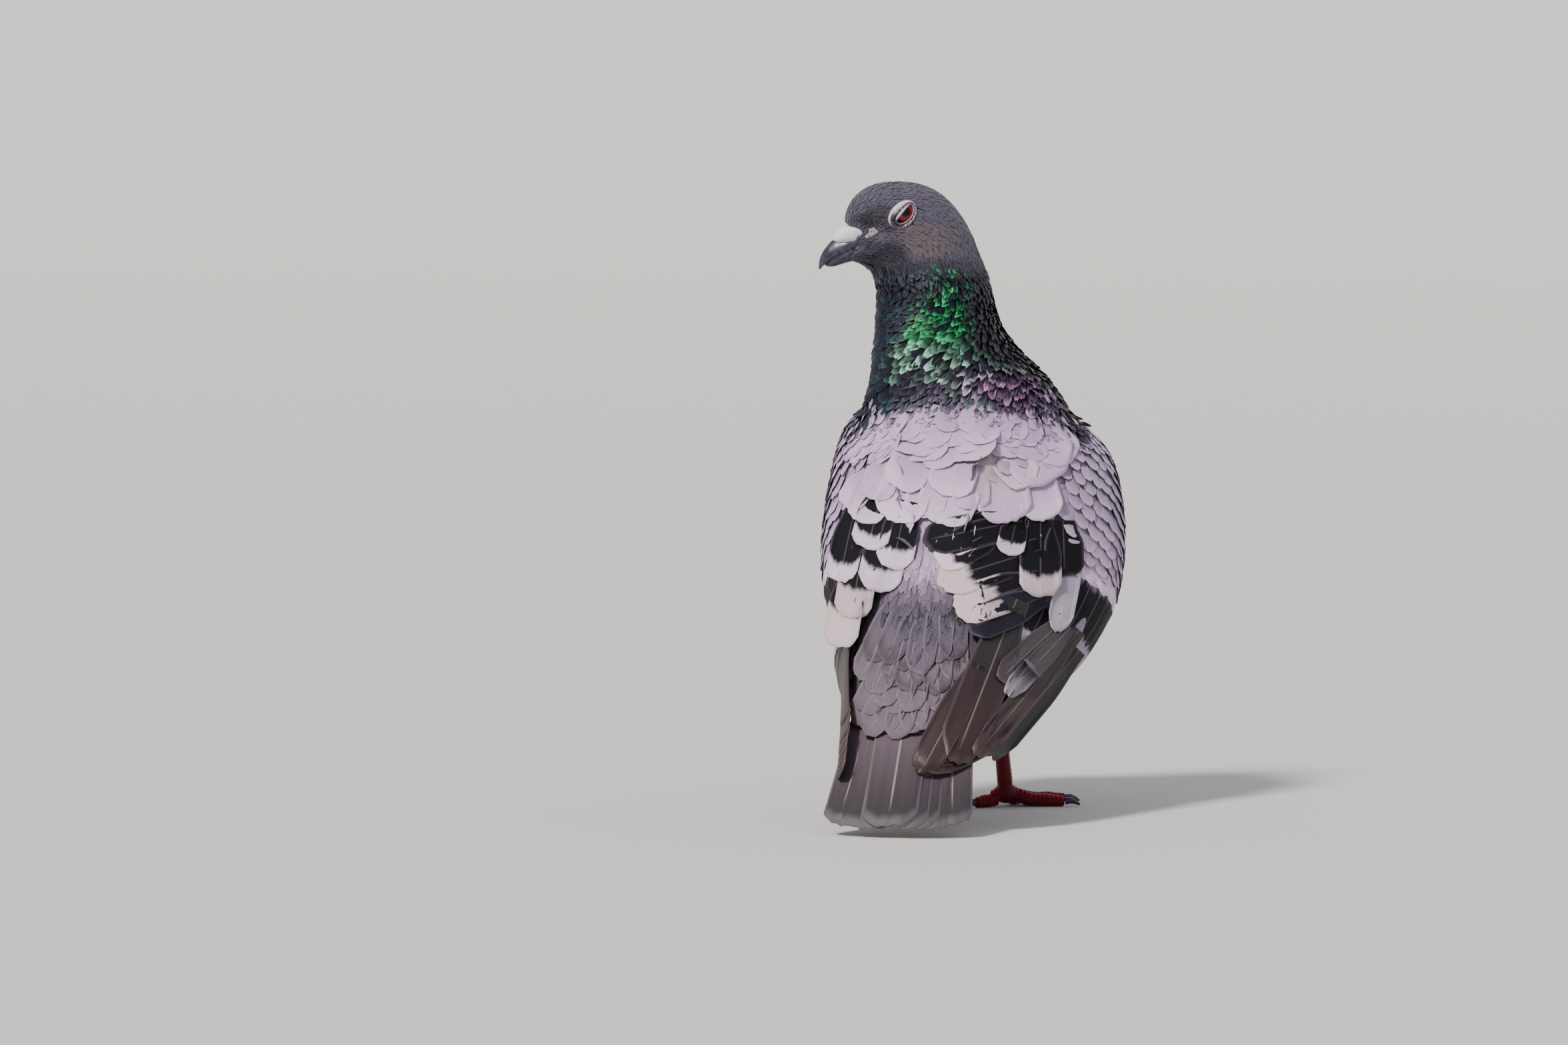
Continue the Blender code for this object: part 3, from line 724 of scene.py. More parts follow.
def colour_attribute(mesh, name, colours):
    """Stores one colour for each vertex."""
    four = np.ones((len(mesh.vertices), 4), np.float32)
    four[:, :3] = np.clip(colours, 0, 1)
    mesh.attributes.new(name, "FLOAT_COLOR", "POINT").data.foreach_set("color", four.ravel())


# ---------------------------------------------------------------------------
# Vanes
# ---------------------------------------------------------------------------


def turned(vectors):
    """These vectors with the length 1."""
    return vectors / np.maximum(np.linalg.norm(vectors, axis=-1, keepdims=True), 1e-12)


def vane_outline(vane):
    """A vane's points as shares of its length and its half width, and how far across and along they are."""
    across = np.linspace(-1, 1, vane.columns)
    along = np.linspace(0, 1, vane.rows) ** 0.85
    reach = 1 - vane.round * (1 - np.sqrt(1 - (0.97 * across) ** 2))
    length = along[:, None] * reach[None, :]
    spread = vane.base + (1 - vane.base) * fade(0.0, 0.55, along)
    width = spread[:, None] * across[None, :]
    return length, width, across, along


def follow(surface, roots, flows, lengths):
    """Walks each vane's middle line over the surface. Gives its points, ways ahead and ways out."""
    lines = np.zeros((3, len(roots), SMALL_STATIONS, 3))
    for f in range(len(roots)):
        place, out, _, _ = surface.find_nearest(Vector(roots[f]))
        ahead = Vector(flows[f])
        ahead = (ahead - out * ahead.dot(out)).normalized()
        step = lengths[f] * MM / (SMALL_STATIONS - 1)
        for k in range(SMALL_STATIONS):
            if k:
                place = place + ahead * step
                near, facing, _, gap = surface.find_nearest(place)
                if gap < step * 0.6:
                    place = near
                    out = (out + facing).normalized()
                    ahead = (ahead - out * ahead.dot(out)).normalized()
            lines[0, f, k], lines[1, f, k], lines[2, f, k] = place, ahead, out
    return lines


def spread(lines, vane, grow, stack, wing=None):
    """The points of vanes about their middle lines, each a grid from root to tip, with the ways out."""
    places, aheads, outs = lines
    count, stations = places.shape[:2]
    length, width, _, along = vane_outline(vane)
    edge = WEAR.uniform(-1, 1, (count, 1, vane.columns))
    worn = 1 + vane.ragged * edge * fade(0.4, 1.0, along)[None, :, None]
    station = np.clip(length[None] * worn, 0, 1) * (stations - 1)
    k = np.clip(station.astype(int), 0, stations - 2)
    t = (station - k)[..., None]
    each = np.arange(count)[:, None, None]
    centre, ahead, out = (line[each, k] * (1 - t) + line[each, k + 1] * t for line in (places, aheads, outs))
    out = turned(out)
    side = turned(np.cross(out, ahead))
    points = centre + side * (width[None] * grow[:, None, None] * vane.width / 2 * MM)[..., None]
    if wing is not None:
        points = bent_round_wing(wing, centre, points, station / (stations - 1))
    return raised(points, out, vane, stack), out


def raised(points, outs, vane, stack):
    """Lifts vanes off their surface: sunk at the root, proud at the tip, bowed across and gently waved."""
    _, _, across, along = vane_outline(vane)
    height = -vane.sink + (vane.sink + vane.lift) * along[:, None] - vane.camber * across[None, :] ** 2
    phase = 6.3 * WEAR.random((len(points), 1))
    wave = np.sin(5 * along[None, :] + phase)[:, :, None] * across[None, None, :]
    stacked = stack[:, None, None] * fade(0.0, 0.45, along)[None, :, None]
    return points + outs * ((height[None] + stacked + 0.25 * vane.camber * wave) * MM)[..., None]


PAST_UPPER_EDGE = 0.08  # how much of a web's reach past the wing's upper edge is kept


def bent_round_wing(wing, centre, points, share):
    """Moves long vanes onto the wing's own curve, and gathers what reaches past its upper edge."""
    bent = np.array(points)
    for n in np.ndindex(points.shape[:3]):
        turn, start, end = wing[n[0]]
        i = start[0] + (end[0] - start[0]) * share[n]
        s = start[1] + (end[1] - start[1]) * share[n]
        _, _, across, _ = wing_frame(turn, i, s)
        way = points[n] - centre[n]
        pace = np.dot(way, across) / across.length_squared
        inside = min(max(s + pace, 0.0), 1.0)
        edge, _, edge_across, _ = wing_frame(turn, i, inside)
        past = min(s + pace - inside, 0.0) * PAST_UPPER_EDGE + max(s + pace - inside, 0.0)
        bent[n] = edge + edge_across * past + (Vector(way) - across * pace)
    return bent


def lay(surface, roots, flows, vane, grow, stack):
    """Vanes that follow a surface from their roots, each with its own size and height."""
    return spread(follow(surface, roots, flows, vane.length * grow), vane, grow, stack)


def grid_faces(index):
    """The four corners of each face of a grid of points."""
    return np.stack([index[:-1, :-1], index[1:, :-1], index[1:, 1:], index[:-1, 1:]], -1).reshape(-1, 4)


def vane_faces(rows, columns, thick):
    """One vane's faces: its upper side, and where it is thick its under side and rim too."""
    per = rows * columns
    index = np.arange(per).reshape(rows, columns)
    faces = grid_faces(index)
    if not thick:
        return faces
    rim = np.concatenate([index[0, :-1], index[:-1, -1], index[-1, :0:-1], index[:0:-1, 0]])
    after = np.roll(rim, -1)
    return np.concatenate([faces, faces[:, ::-1] + per, np.stack([rim, after, after + per, rim + per], -1)])


def mark_vanes(mesh, marks, size):
    """Stores each vane's colours, bar and tone at all of its points. size is how many those are."""
    colour_attribute(mesh, "Plumage", np.repeat(marks.plumage, size, 0))
    colour_attribute(mesh, "Tip", np.repeat(marks.tip, size, 0))
    bars = np.repeat(marks.bar, size, 0).astype(np.float32)
    mesh.attributes.new("Bar", "FLOAT_VECTOR", "POINT").data.foreach_set("vector", bars.ravel())
    float_attribute(mesh, "Tone", np.repeat(marks.tone, size))


def vane_mesh(name, vane, points, outs, marks, bake, thick=0.0):
    """One mesh of many vanes. bake is each one's (u, v, width, height) on the unwrapped skin."""
    count, rows, columns = points.shape[:3]
    _, _, across, along = vane_outline(vane)
    web = np.stack(np.broadcast_arrays(across[None, :] / 2 + 0.5, along[:, None]), -1)
    layers = [points] if not thick else [points, points - outs * thick * MM]
    per = rows * columns
    size = per * len(layers)
    places = np.concatenate([layer.reshape(count, per, 3) for layer in layers], 1).reshape(-1, 3)
    faces = vane_faces(rows, columns, thick)[None] + (np.arange(count) * size)[:, None, None]
    faces = faces.reshape(-1, 4)
    mesh = bpy.data.meshes.new(name)
    mesh.vertices.add(len(places))
    mesh.vertices.foreach_set("co", places.astype(np.float32).ravel())
    mesh.loops.add(faces.size)
    mesh.loops.foreach_set("vertex_index", faces.astype(np.int32).ravel())
    mesh.polygons.add(len(faces))
    mesh.polygons.foreach_set("loop_start", np.arange(0, faces.size, 4, dtype=np.int32))
    mesh.update(calc_edges=True)
    mesh.polygons.foreach_set("use_smooth", np.ones(len(faces), bool))
    corners = faces.ravel()
    feather, spot = corners // size, corners % per
    share = web.reshape(-1, 2)[spot]
    mesh.uv_layers.new(name="Vane").data.foreach_set("uv", share.astype(np.float32).ravel())
    patch = bake[feather, :2] + (share - 0.5) * bake[feather, 2:]
    mesh.uv_layers.new(name="OFBake").data.foreach_set("uv", patch.astype(np.float32).ravel())
    mark_vanes(mesh, marks, size)
    return mesh


def finished(piece, finish, slot, *nodes):
    """Gives a piece its material and its place in the model."""
    piece.data.materials.clear()
    piece.data.materials.append(finish)
    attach(piece, "root")
    if nodes:
        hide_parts(*nodes)
    return piece


NO_BAR = (0.0, 1.3, 0.0)  # a bar's start, end and strength: the tip's colour begins past the feather's end


def plain_marks(colours, rng, vary, bar=NO_BAR):
    """Marks for vanes of these colours, each a little lighter or darker than the next."""
    tone = rng.random(len(colours))
    shaded = colours * (1 + vary * (tone - 0.5) * 2)[:, None]
    return Marks(shaded, shaded, np.broadcast_to(np.array(bar, float), colours.shape), tone)


# ---------------------------------------------------------------------------
# Where the feathers grow
# ---------------------------------------------------------------------------

BODY = 0  # the kind of a place on the body; on a wing it is the wing's side, 1 or -1
WING_GUIDE_END = 6.5
WING_GUIDE_ROWS = 40

Guide = namedtuple("Guide", "tree flows kinds rows unwrapped")


def guide():
    """Points over body and wings, each with the way its feathers lie and its place on the unwrapped skin."""
    grid = body_grid()
    rings = len(grid)
    before = np.maximum(np.arange(rings) - 1, 0)
    after = np.minimum(np.arange(rings) + 1, rings - 1)
    ring, turn = np.meshgrid(np.arange(rings), np.arange(RING_POINTS), indexing="ij")
    unwrapped = np.stack([turn / RING_POINTS, ring / rings], -1).reshape(-1, 2)
    places, flows = [grid.reshape(-1, 3)], [(grid[before] - grid[after]).reshape(-1, 3)]
    kinds, rows, flats = [np.zeros(grid.size // 3, int)], [ring.ravel() / STEPS_PER_RIB], [unwrapped]
    for side, _ in SIDES:
        steps, shares = np.linspace(0, WING_GUIDE_END, WING_GUIDE_ROWS), np.linspace(0, 1, WING_STEPS)
        spots = [(i, s) for i in steps for s in shares]
        framed = [wing_frame(side, i, s) for i, s in spots]
        places.append(np.array([f[0] for f in framed]))
        flows.append(np.array([f[1] for f in framed]))
        kinds.append(np.full(len(spots), side))
        rows.append(np.array([i for i, _ in spots]))
        flats.append(np.array([(s, i / WING_GUIDE_END) for i, s in spots]))
    places = np.concatenate(places)
    tree = KDTree(len(places))
    for n, place in enumerate(places):
        tree.insert(place, n)
    tree.balance()
    flows, kinds, rows, flats = (np.concatenate(parts) for parts in (flows, kinds, rows, flats))
    return Guide(tree, turned(flows), kinds, rows, flats)


def scattered(piece, rng, count):
    """Places at random over a mesh, spread by area, with the ways out there."""
    mesh = piece.data
    mesh.calc_loop_triangles()
    corners = np.zeros(len(mesh.loop_triangles) * 3, np.int32)
    mesh.loop_triangles.foreach_get("vertices", corners)
    points, _ = vertex_arrays(mesh)
    a, b, c = (points[corners.reshape(-1, 3)[:, k]] for k in range(3))
    cross = np.cross(b - a, c - a)
    area = np.linalg.norm(cross, axis=1)
    chosen = rng.choice(len(area), count, p=area / area.sum())
    first, second = np.sqrt(rng.random(count)), rng.random(count)
    weights = np.stack([1 - first, first * (1 - second), first * second], 1)
    corner_points = np.stack([a[chosen], b[chosen], c[chosen]], 1)
    return (weights[..., None] * corner_points).sum(1), turned(cross[chosen])


def thinned(places, gap):
    """The numbers of the places that stand at least gap millimetres from every one kept before them."""
    kept, cells = [], {}
    gap *= MM
    around = [(x, y, z) for x in (-1, 0, 1) for y in (-1, 0, 1) for z in (-1, 0, 1)]
    for n, place in enumerate(places):
        cell = tuple((place // gap).astype(int))
        near = (q for x, y, z in around for q in cells.get((cell[0] + x, cell[1] + y, cell[2] + z), ()))
        if all(((place - q) ** 2).sum() >= gap * gap for q in near):
            cells.setdefault(cell, []).append(place)
            kept.append(n)
    return np.array(kept)


Seeds = namedtuple("Seeds", "places outs flows kinds rows unwrapped far")
GUIDE_REACH = 3.2  # seeds further than this from the guiding points belong to another part of the bird


def seeds_over(piece, rng, count):
    """Random places over the coat, with what the nearest guiding point says of each."""
    places, outs = scattered(piece, rng, count)
    found = [GUIDE.tree.find(place) for place in places]
    near = np.array([number for _, number, _ in found])
    far = np.array([gap for _, _, gap in found]) / MM
    told = (field[near] for field in (GUIDE.flows, GUIDE.kinds, GUIDE.rows, GUIDE.unwrapped))
    return Seeds(places, outs, *told, far)


def chosen(seeds, wanted, gap):
    """The seeds that are wanted, thinned to stand gap millimetres apart."""
    numbers = np.flatnonzero(wanted)
    numbers = numbers[thinned(seeds.places[numbers], gap)]
    return Seeds(*(field[numbers] for field in seeds))


PATCH = 0.003  # the size of a small feather on the unwrapped skin


def patches(unwrapped, width=PATCH, height=PATCH):
    """Each feather's place on the unwrapped skin with its size there."""
    size = np.broadcast_to(np.array([width, height]), unwrapped.shape)
    return np.concatenate([unwrapped, size], 1)


def tract(name, surface, seeds, vane, finish, slot, rng, vary=0.12, wander=0.12, height=0.0, bar=NO_BAR):
    """One piece of small feathers that grow from these seeds. Gives back each feather's points."""
    chance = rng.random(len(seeds.places))
    flows = turned(seeds.flows + rng.normal(0, wander, seeds.flows.shape))
    grow = 0.85 + 0.3 * rng.random(len(flows))
    points, outs = lay(surface, seeds.places, flows, vane, grow, rng.normal(height, 0.06, len(flows)))
    marks = plain_marks(plumage_colour(seeds.places, seeds.outs, chance), rng, vary, bar)
    mesh = vane_mesh(name, vane, points, outs, marks, patches(seeds.unwrapped))
    finished(new_object(name, mesh), finish, slot)
    return list(points)


# ---------------------------------------------------------------------------
# The plumage
# ---------------------------------------------------------------------------

FLESH = ["head", "neck", "trunk", "thigh_left", "thigh_right"]
WINGS = [f"wing_{part}_{word}" for part in ("coverts", "secondaries") for _, word in SIDES]
WING_ENDS = ["wing_primaries_left", "wing_primaries_right"]

HEAD_TUFT = Vane(3.2, 0.9, 0.26, 0.02, 0.04, 0.6, 0.85, 4, 3, 0.12)
FACE_TUFT = Vane(2.2, 0.62, 0.22, 0.02, 0.03, 0.6, 0.85, 4, 3, 0.12)
NAPE_HACKLE = Vane(5.0, 2.0, 0.8, 0.35, 0.35, 0.5, 0.5, 5, 5, 0.14)
NECK_HACKLE = Vane(7.0, 2.9, 1.0, 0.55, 0.55, 0.42, 0.5, 5, 7, 0.16)
BREAST_VANE = Vane(10.0, 7.4, 1.2, 0.2, 0.6, 0.4, 0.55, 5, 5)
MANTLE_VANE = Vane(14.0, 11.5, 0.9, 0.02, 0.35, 0.42, 0.55, 7, 7)
RUMP_VANE = Vane(17.0, 2.2, 0.7, 0.1, 0.12, 0.3, 0.6, 7, 5, 0.16)
VENT_VANE = Vane(18.0, 9.0, 1.1, 0.2, 0.6, 0.3, 0.5, 6, 5)

SKIN_DEPTHS = (0.32, 0.9, 1.2)  # under the head's, the neck's and the body's feathers
LID_DEPTH = 1.6  # how much deeper it lies under the lids
WING_TIP_ROW = 5.3  # from here on the skin of a wing has the colour of the primaries


def slimmed(piece):
    """Draws the lores in towards the middle, so that the cere stands out of them."""
    places, _ = vertex_arrays(piece.data)
    ahead, across, up = head_axes(places)
    share = 0.42 * blob((ahead, up), (17.0, -7.0), (8.5, 7.5))
    places = places - np.array(HEAD_ACROSS) * (across * share)[:, None] * MM
    move_points(piece.data, places)
    return piece


def skin_from():
    """The skin under the feathers: the coat's own shape, drawn in by the depth of the feathers there."""
    skin = slimmed(fused("skin", FLESH + WINGS, SKIN_VOXEL))
    places, normals = vertex_arrays(skin.data)
    up = above_feet(places)
    head, neck, body = SKIN_DEPTHS
    depth = np.where(up > 186, head, np.where(up > 140, neck, body))
    depth = depth + LID_DEPTH * (1 - fade(0.5, 0.95, in_the_lids(places)))
    move_points(skin.data, places - normals * depth[:, None] * MM)
    found = np.array([GUIDE.tree.find(place)[1] for place in places])
    wing_colours = np.where((GUIDE.rows[found] > WING_TIP_ROW)[:, None], PRIMARY, COVERT)
    on_wing = (GUIDE.kinds[found] != BODY)[:, None]
    colours = np.where(on_wing, wing_colours, plumage_colour(places, normals))
    colour_attribute(skin.data, "Plumage", colours * 0.9)
    return skin


def in_the_lids(places):
    """How far out from the eye's middle a place is: 1 on the lids' outer edge."""
    ahead, across, up = head_axes(places)
    long = (ahead - LID_CENTRE[0]) * LID_AXIS[0] + (up - LID_CENTRE[1]) * LID_AXIS[1]
    short = (ahead - LID_CENTRE[0]) * LID_AXIS[1] - (up - LID_CENTRE[1]) * LID_AXIS[0]
    far = np.hypot(long / LID_HALF[0], short / np.where(short > 0, LID_HALF[1], LOWER_LID))
    return np.where(np.abs(across) > 5, far, 9.0)


def off_the_face(places, bare):
    """True where feathers grow: not on the lids, nor within a hair of the bill, the cere or the gape."""
    grows = in_the_lids(places) > 0.86
    ahead, _, _ = head_axes(places)
    for n in np.flatnonzero(grows & (ahead > 6)):
        near, facing, _, gap = bare.find_nearest(Vector(places[n]))
        inside = (Vector(places[n]) - near).dot(facing) < 0
        grows[n] = gap > 0.35 * MM and not inside
    return grows


SEEDS = (320000, 60000, 90000)  # random places tried on the coat, the pad and the rear
SCAPULAR_ROOTS = 129  # the mantle's own feathers begin at this height; the scapulars lie below
NECK_LOW, NECK_HIGH = 168, 186  # the nape's feathers begin at one height and the head's at the other
FACE_FROM = 3.5  # how far ahead of the eyes' line the face's short feathers begin


def back_seeds(seeds):
    """Which seeds are on the back, and how high they are."""
    on_body = (seeds.kinds == BODY) & (seeds.far < 9)
    behind_neck = ahead_of_feet(seeds.places) < 34
    return on_body & behind_neck & (facing_up(seeds.outs) > 0.2), above_feet(seeds.places)


def facing_up(outs):
    """How much each way points up and back."""
    return outs[:, 1] * 0.6 + outs[:, 2] * 0.8


def rump_streaks(seeds, rng):
    """Dark ragged tips on many of the rump's feathers in two broken rows."""
    up = above_feet(seeds.places)
    share = 0.75 * window(64, 66, 69, 71, up) + 0.45 * window(76, 78, 80, 82, up)
    strength = 0.85 * (rng.random(len(up)) < share)
    return np.stack([np.full(len(up), 0.62), np.full(len(up), 1.2), strength], 1)


def add_head_and_neck(seeds, body, neck, tree, bare, rng):
    """Tufts on the head and the face, and hackles on the nape and the neck."""
    none = (0.0, SLATE)
    down = vane_finish("head_feather", (0.1, 0.3, 0.9), none, none, 0.2, 0.75, Sheen_Weight=0.3)
    shot = vane_finish("neck_feather", (0.88, 0.56, 1.0), none, none, 0.3, 0.38, Metallic=0.35)
    up = above_feet(seeds.places)
    head_end = body & (up >= 183)
    free = np.zeros(len(body), bool)
    free[head_end] = off_the_face(seeds.places[head_end], bare)
    ahead, _, _ = head_axes(seeds.places)
    face = (up > 180) & (ahead > FACE_FROM)
    for name, wanted, gap, vane, finish, slot in (
        ("head_feathers", free & (up >= NECK_HIGH) & ~face, 0.74, HEAD_TUFT, down, "head_feathers"),
        ("face_feathers", free & face, 0.58, FACE_TUFT, down, "head_feathers"),
        ("nape_feathers", neck & (up >= NECK_LOW), 1.5, NAPE_HACKLE, shot, "neck_feathers"),
        ("neck_feathers", neck & (up < NECK_LOW), 2.05, NECK_HACKLE, shot, "neck_feathers"),
    ):
        tract(name, tree, chosen(seeds, wanted, gap), vane, finish, slot, rng)


def add_back(on_pad, on_rear, pad_tree, rear_tree, rng):
    """The downy mantle over the shoulders, the back below it and the shaggy rump. Gives their points."""
    faint = (0.06, PALE)
    silky = vane_finish("mantle_feather", (0.16, 0.3, 0.9), faint, faint, 0.14, 0.72, Specular_IOR_Level=0.3)
    fluff = vane_finish(
        "rump_feather", (0.25, 0.3, 0.85), (0.08, PALE), (0.1, PALE), 0.2, 0.75, 0.1, Sheen_Weight=0.2
    )
    back, up = back_seeds(on_pad)
    high = back & (up > SCAPULAR_ROOTS) & (on_pad.rows < 9.3) & (neck_edge(on_pad.places) < -1)
    high = chosen(on_pad, high, 4.4)
    middle_back = chosen(on_pad, back & (up > 91) & (up <= 107), 4.2)
    back, up = back_seeds(on_rear)
    low = chosen(on_rear, back & (up < 96) & (up > 60), 1.55)
    slot = "body_feathers"
    sheets = tract("mantle_feathers", pad_tree, high, MANTLE_VANE, silky, slot, rng, vary=0.05)
    sheets += tract(
        "back_feathers", pad_tree, middle_back, MANTLE_VANE, silky, slot, rng, vary=0.05, height=-1.5
    )
    streaks = rump_streaks(low, rng)
    return sheets + tract(
        "rump_feathers", rear_tree, low, RUMP_VANE, fluff, slot, rng, vary=0.25, wander=0.15, bar=streaks
    )


def add_body_feathers(coat, pad, rear, bare, rng):
    """All the small feathers of head and body. Gives the surface of those on the back."""
    pieces = (coat, pad, rear)
    coat_tree, pad_tree, rear_tree = (tree_of(piece) for piece in pieces)
    seeds, on_pad, on_rear = (seeds_over(piece, rng, count) for piece, count in zip(pieces, SEEDS))
    up, forward = above_feet(seeds.places), ahead_of_feet(seeds.places)
    thigh = (forward > -6) & (forward < 34) & (up < 56)
    body = (seeds.kinds == BODY) & ((seeds.far < GUIDE_REACH) | thigh | (up > 184))
    above = facing_up(seeds.outs) > 0.25
    mantle = body & (up > 84) & (seeds.rows < 9.3) & above & (forward < 34)
    tail_end = body & (seeds.rows < 2.9)
    rump = body & above & ~mantle & ~tail_end & (up < 100)
    neck = body & (neck_edge(seeds.places) > -5) & (up < 190)
    add_head_and_neck(seeds, body, neck, coat_tree, bare, rng)
    rim, shaft = (0.06, PALE), (0.04, PALE)
    soft = vane_finish("body_feather", (0.22, 0.4, 0.9), rim, shaft, 0.12, 0.72, Sheen_Weight=0.2)
    between = (seeds.outs[:, 1] > 0.1) & (up > 56) & (forward < 20)
    lower = body & ~mantle & ~rump & ~neck & ~tail_end & ~between & (up < 180)
    tract("breast_feathers", coat_tree, chosen(seeds, lower, 3.9), BREAST_VANE, soft, "body_feathers", rng)
    sheets = add_back(on_pad, on_rear, pad_tree, rear_tree, rng)
    vent = tail_end & (seeds.rows > 1.7) & (seeds.outs[:, 1] < 0.35) & (seeds.outs[:, 2] < -0.35)
    tract("under_tail_coverts", coat_tree, chosen(seeds, vent, 5.5), VENT_VANE, soft, "body_feathers", rng)
    inside = (seeds.kinds != BODY) & (seeds.outs[:, 0] * seeds.kinds < 0.1) & (seeds.outs[:, 2] < 0.5)
    inside = inside & (seeds.rows < 4.8) & (seeds.unwrapped[:, 0] > 0.55) & (neck_edge(seeds.places) < -12)
    tract("wing_lining", coat_tree, chosen(seeds, inside, 5.0), BREAST_VANE, soft, "wing_feathers", rng)
    return sheet_tree(sheets)


LESSER_COVERT = Vane(9.0, 6.0, 0.9, 0.25, 0.5, 0.42, 0.6, 5, 5)
STRAY = 2.2  # a covert whose tip stands further off than this is left out
COVERT_ROWS = 17
COVERTS_A_ROW = 17
COVERT_FIRST, COVERT_LAST = 0.25, 4.3
UPPER_COVERTS = 0.35  # the coverts higher up on the wing than this lie on the bridged surface
SUNK_COVERTS = 1.6  # how much lower the coverts lie where the scapulars cover them
FRONT_BAR_END = 0.3  # how far down the wing the front bar reaches


def past_front_bar(s):
    """0 on the part of the wing that the front bar crosses, 1 below it."""
    return float(fade(FRONT_BAR_END - 0.06, FRONT_BAR_END + 0.08, s))


def covert_spots(rng):
    """Places (i, s) in rows from the wrist back, as far as the row that makes the front bar."""
    spots = []
    for row in range(COVERT_ROWS):
        i = COVERT_FIRST + (COVERT_LAST - COVERT_FIRST) * row / (COVERT_ROWS - 1)
        for k in range(COVERTS_A_ROW + 1):
            s = 0.05 + 0.95 * (k + 0.5 * (row % 2)) / COVERTS_A_ROW
            if i < front_row_end(s) - 1.3 + 0.75 * past_front_bar(s):
                spots.append((i + rng.normal(0, 0.03), min(max(s + rng.normal(0, 0.006), 0.0), 1.0)))
    return np.array(spots)


def wing_coverts(side, word, tree, coat_tree, finish, rng):
    """Rows of small scale-like coverts, larger row by row. Gives back each one's points."""
    spots = covert_spots(rng)
    framed = [wing_frame(side, i, s) for i, s in spots.tolist()]
    roots = np.array([f[0] for f in framed])
    flows = turned(turned(np.array([f[1] for f in framed])) + rng.normal(0, 0.06, roots.shape))
    grow = (0.72 + 0.5 * spots[:, 0] / COVERT_LAST) * (0.93 + 0.14 * rng.random(len(roots)))
    right, up, _ = view_ways()
    offset = (roots - np.array(ORIGIN)) / MM
    x, z = offset @ np.array(right), offset @ np.array(up)
    covered = window(-42, -37, 36, 41, x) * window(92, 98, 118, 123, z)
    heights = rng.normal(0, 0.05, len(roots)) - SUNK_COVERTS * covered
    vane = LESSER_COVERT
    points, ways = np.zeros((2, len(roots), vane.rows, vane.columns, 3))
    upper = spots[:, 1] < UPPER_COVERTS
    for surface, here in ((tree, upper), (coat_tree, ~upper)):
        points[here], ways[here] = lay(surface, roots[here], flows[here], vane, grow[here], heights[here])
    tips = [Vector(grid[-1, vane.columns // 2]) for grid in points]
    lies = np.array([min(t.find_nearest(tip)[3] for t in (tree, coat_tree)) < STRAY * MM for tip in tips])
    points, ways = points[lies], ways[lies]
    unwrapped = spots[lies][:, ::-1] / (1.0, WING_GUIDE_END)
    marks = plain_marks(np.broadcast_to(COVERT, (len(points), 3)), rng, 0.1)
    name = f"wing_coverts_feathers_{word}"
    mesh = vane_mesh(name, vane, points, ways, marks, patches(unwrapped))
    finished(new_object(name, mesh), finish, "wing_feathers")
    return list(points)


Quill = namedtuple("Quill", "start end width stack colour tip bar")


def wing_line(side, start, end):
    """A feather's middle line over a wing from (i, s) to (i, s), with its ways ahead and out."""
    line = np.zeros((3, LARGE_STATIONS, 3))
    for k in range(LARGE_STATIONS):
        share = k / (LARGE_STATIONS - 1)
        i = start[0] + (end[0] - start[0]) * share
        s = start[1] + (end[1] - start[1]) * share
        point, along, across, out = wing_frame(side, i, s)
        ahead = along * (end[0] - start[0]) + across * (end[1] - start[1])
        ahead = (ahead - out * ahead.dot(out)).normalized()
        line[0, k], line[1, k], line[2, k] = point, ahead, out
    return line


def big_vanes(name, lines, quills, vane, finish, slot, rng, nodes, thick, side=0):
    """One piece of large feathers about their middle lines, each with its own width, height and marks.

    On a wing, side is 1 or -1, and they bend round it. Gives back each feather's points.
    """
    widths = np.array([q.width for q in quills])
    stack = np.array([q.stack for q in quills])
    wing = [(side, q.start, q.end) for q in quills] if side else None
    points, ways = spread(lines, vane, widths, stack, wing)
    mesh = vane_mesh(name, vane, points, ways, quill_marks(quills, rng), row_patches(len(quills)), thick)
    finished(new_object(name, mesh), finish, slot, *nodes)
    return list(points)


GREATER_COVERT = Vane(1.0, 1.0, 0.9, 0.25, 0.3, 0.2, 0.6, 9, 9)
SECONDARY_VANE = Vane(1.0, 1.0, 0.4, 0.2, 0.35, 0.13, 0.6, 12, 9)
PRIMARY_VANE = Vane(1.0, 1.0, 1.4, 0.05, 0.25, 0.14, 0.7, 22, 9, 0.012)
GREATER_COVERTS = 12
SECONDARIES = 12
PRIMARIES = 8


def front_row_end(s):
    """How far down the wing the greater coverts reach."""
    return 5.35 - 4.3 * min(s, FRONT_BAR_END) - 0.9 * max(s - FRONT_BAR_END, 0)


def greater_coverts():
    """The row whose dark middles make the front wing bar, which slants forwards and fades out below."""
    quills = []
    for k in range(GREATER_COVERTS):
        s = 0.13 + 0.8 * k / (GREATER_COVERTS - 1)
        end = front_row_end(s)
        bar = (0.38, 0.86, 1 - past_front_bar(s))
        start, end = (end - 1.75, s), (end, s + 0.01)
        quills.append(Quill(start, end, 16 - 6 * s, -0.35 - 0.03 * k, COVERT, PALE, bar))
    return quills


def secondaries():
    """Tertials along the upper edge and secondaries below them, whose dark middles make the rear bar."""
    quills = []
    for k in range(SECONDARIES):
        s = 0.14 + 0.8 * k / (SECONDARIES - 1)
        end = 6.5 - 1.0 * s
        bar = (0.5, 0.84, 1.0) if s < 0.3 else (0.16, 0.56, 1.0)
        tip = PALE if s < 0.3 else SECONDARY
        quills.append(Quill((end - 2.6, s), (end, s + 0.02), 17 - 7 * s, -0.7 - 0.05 * k, COVERT, tip, bar))
    return quills


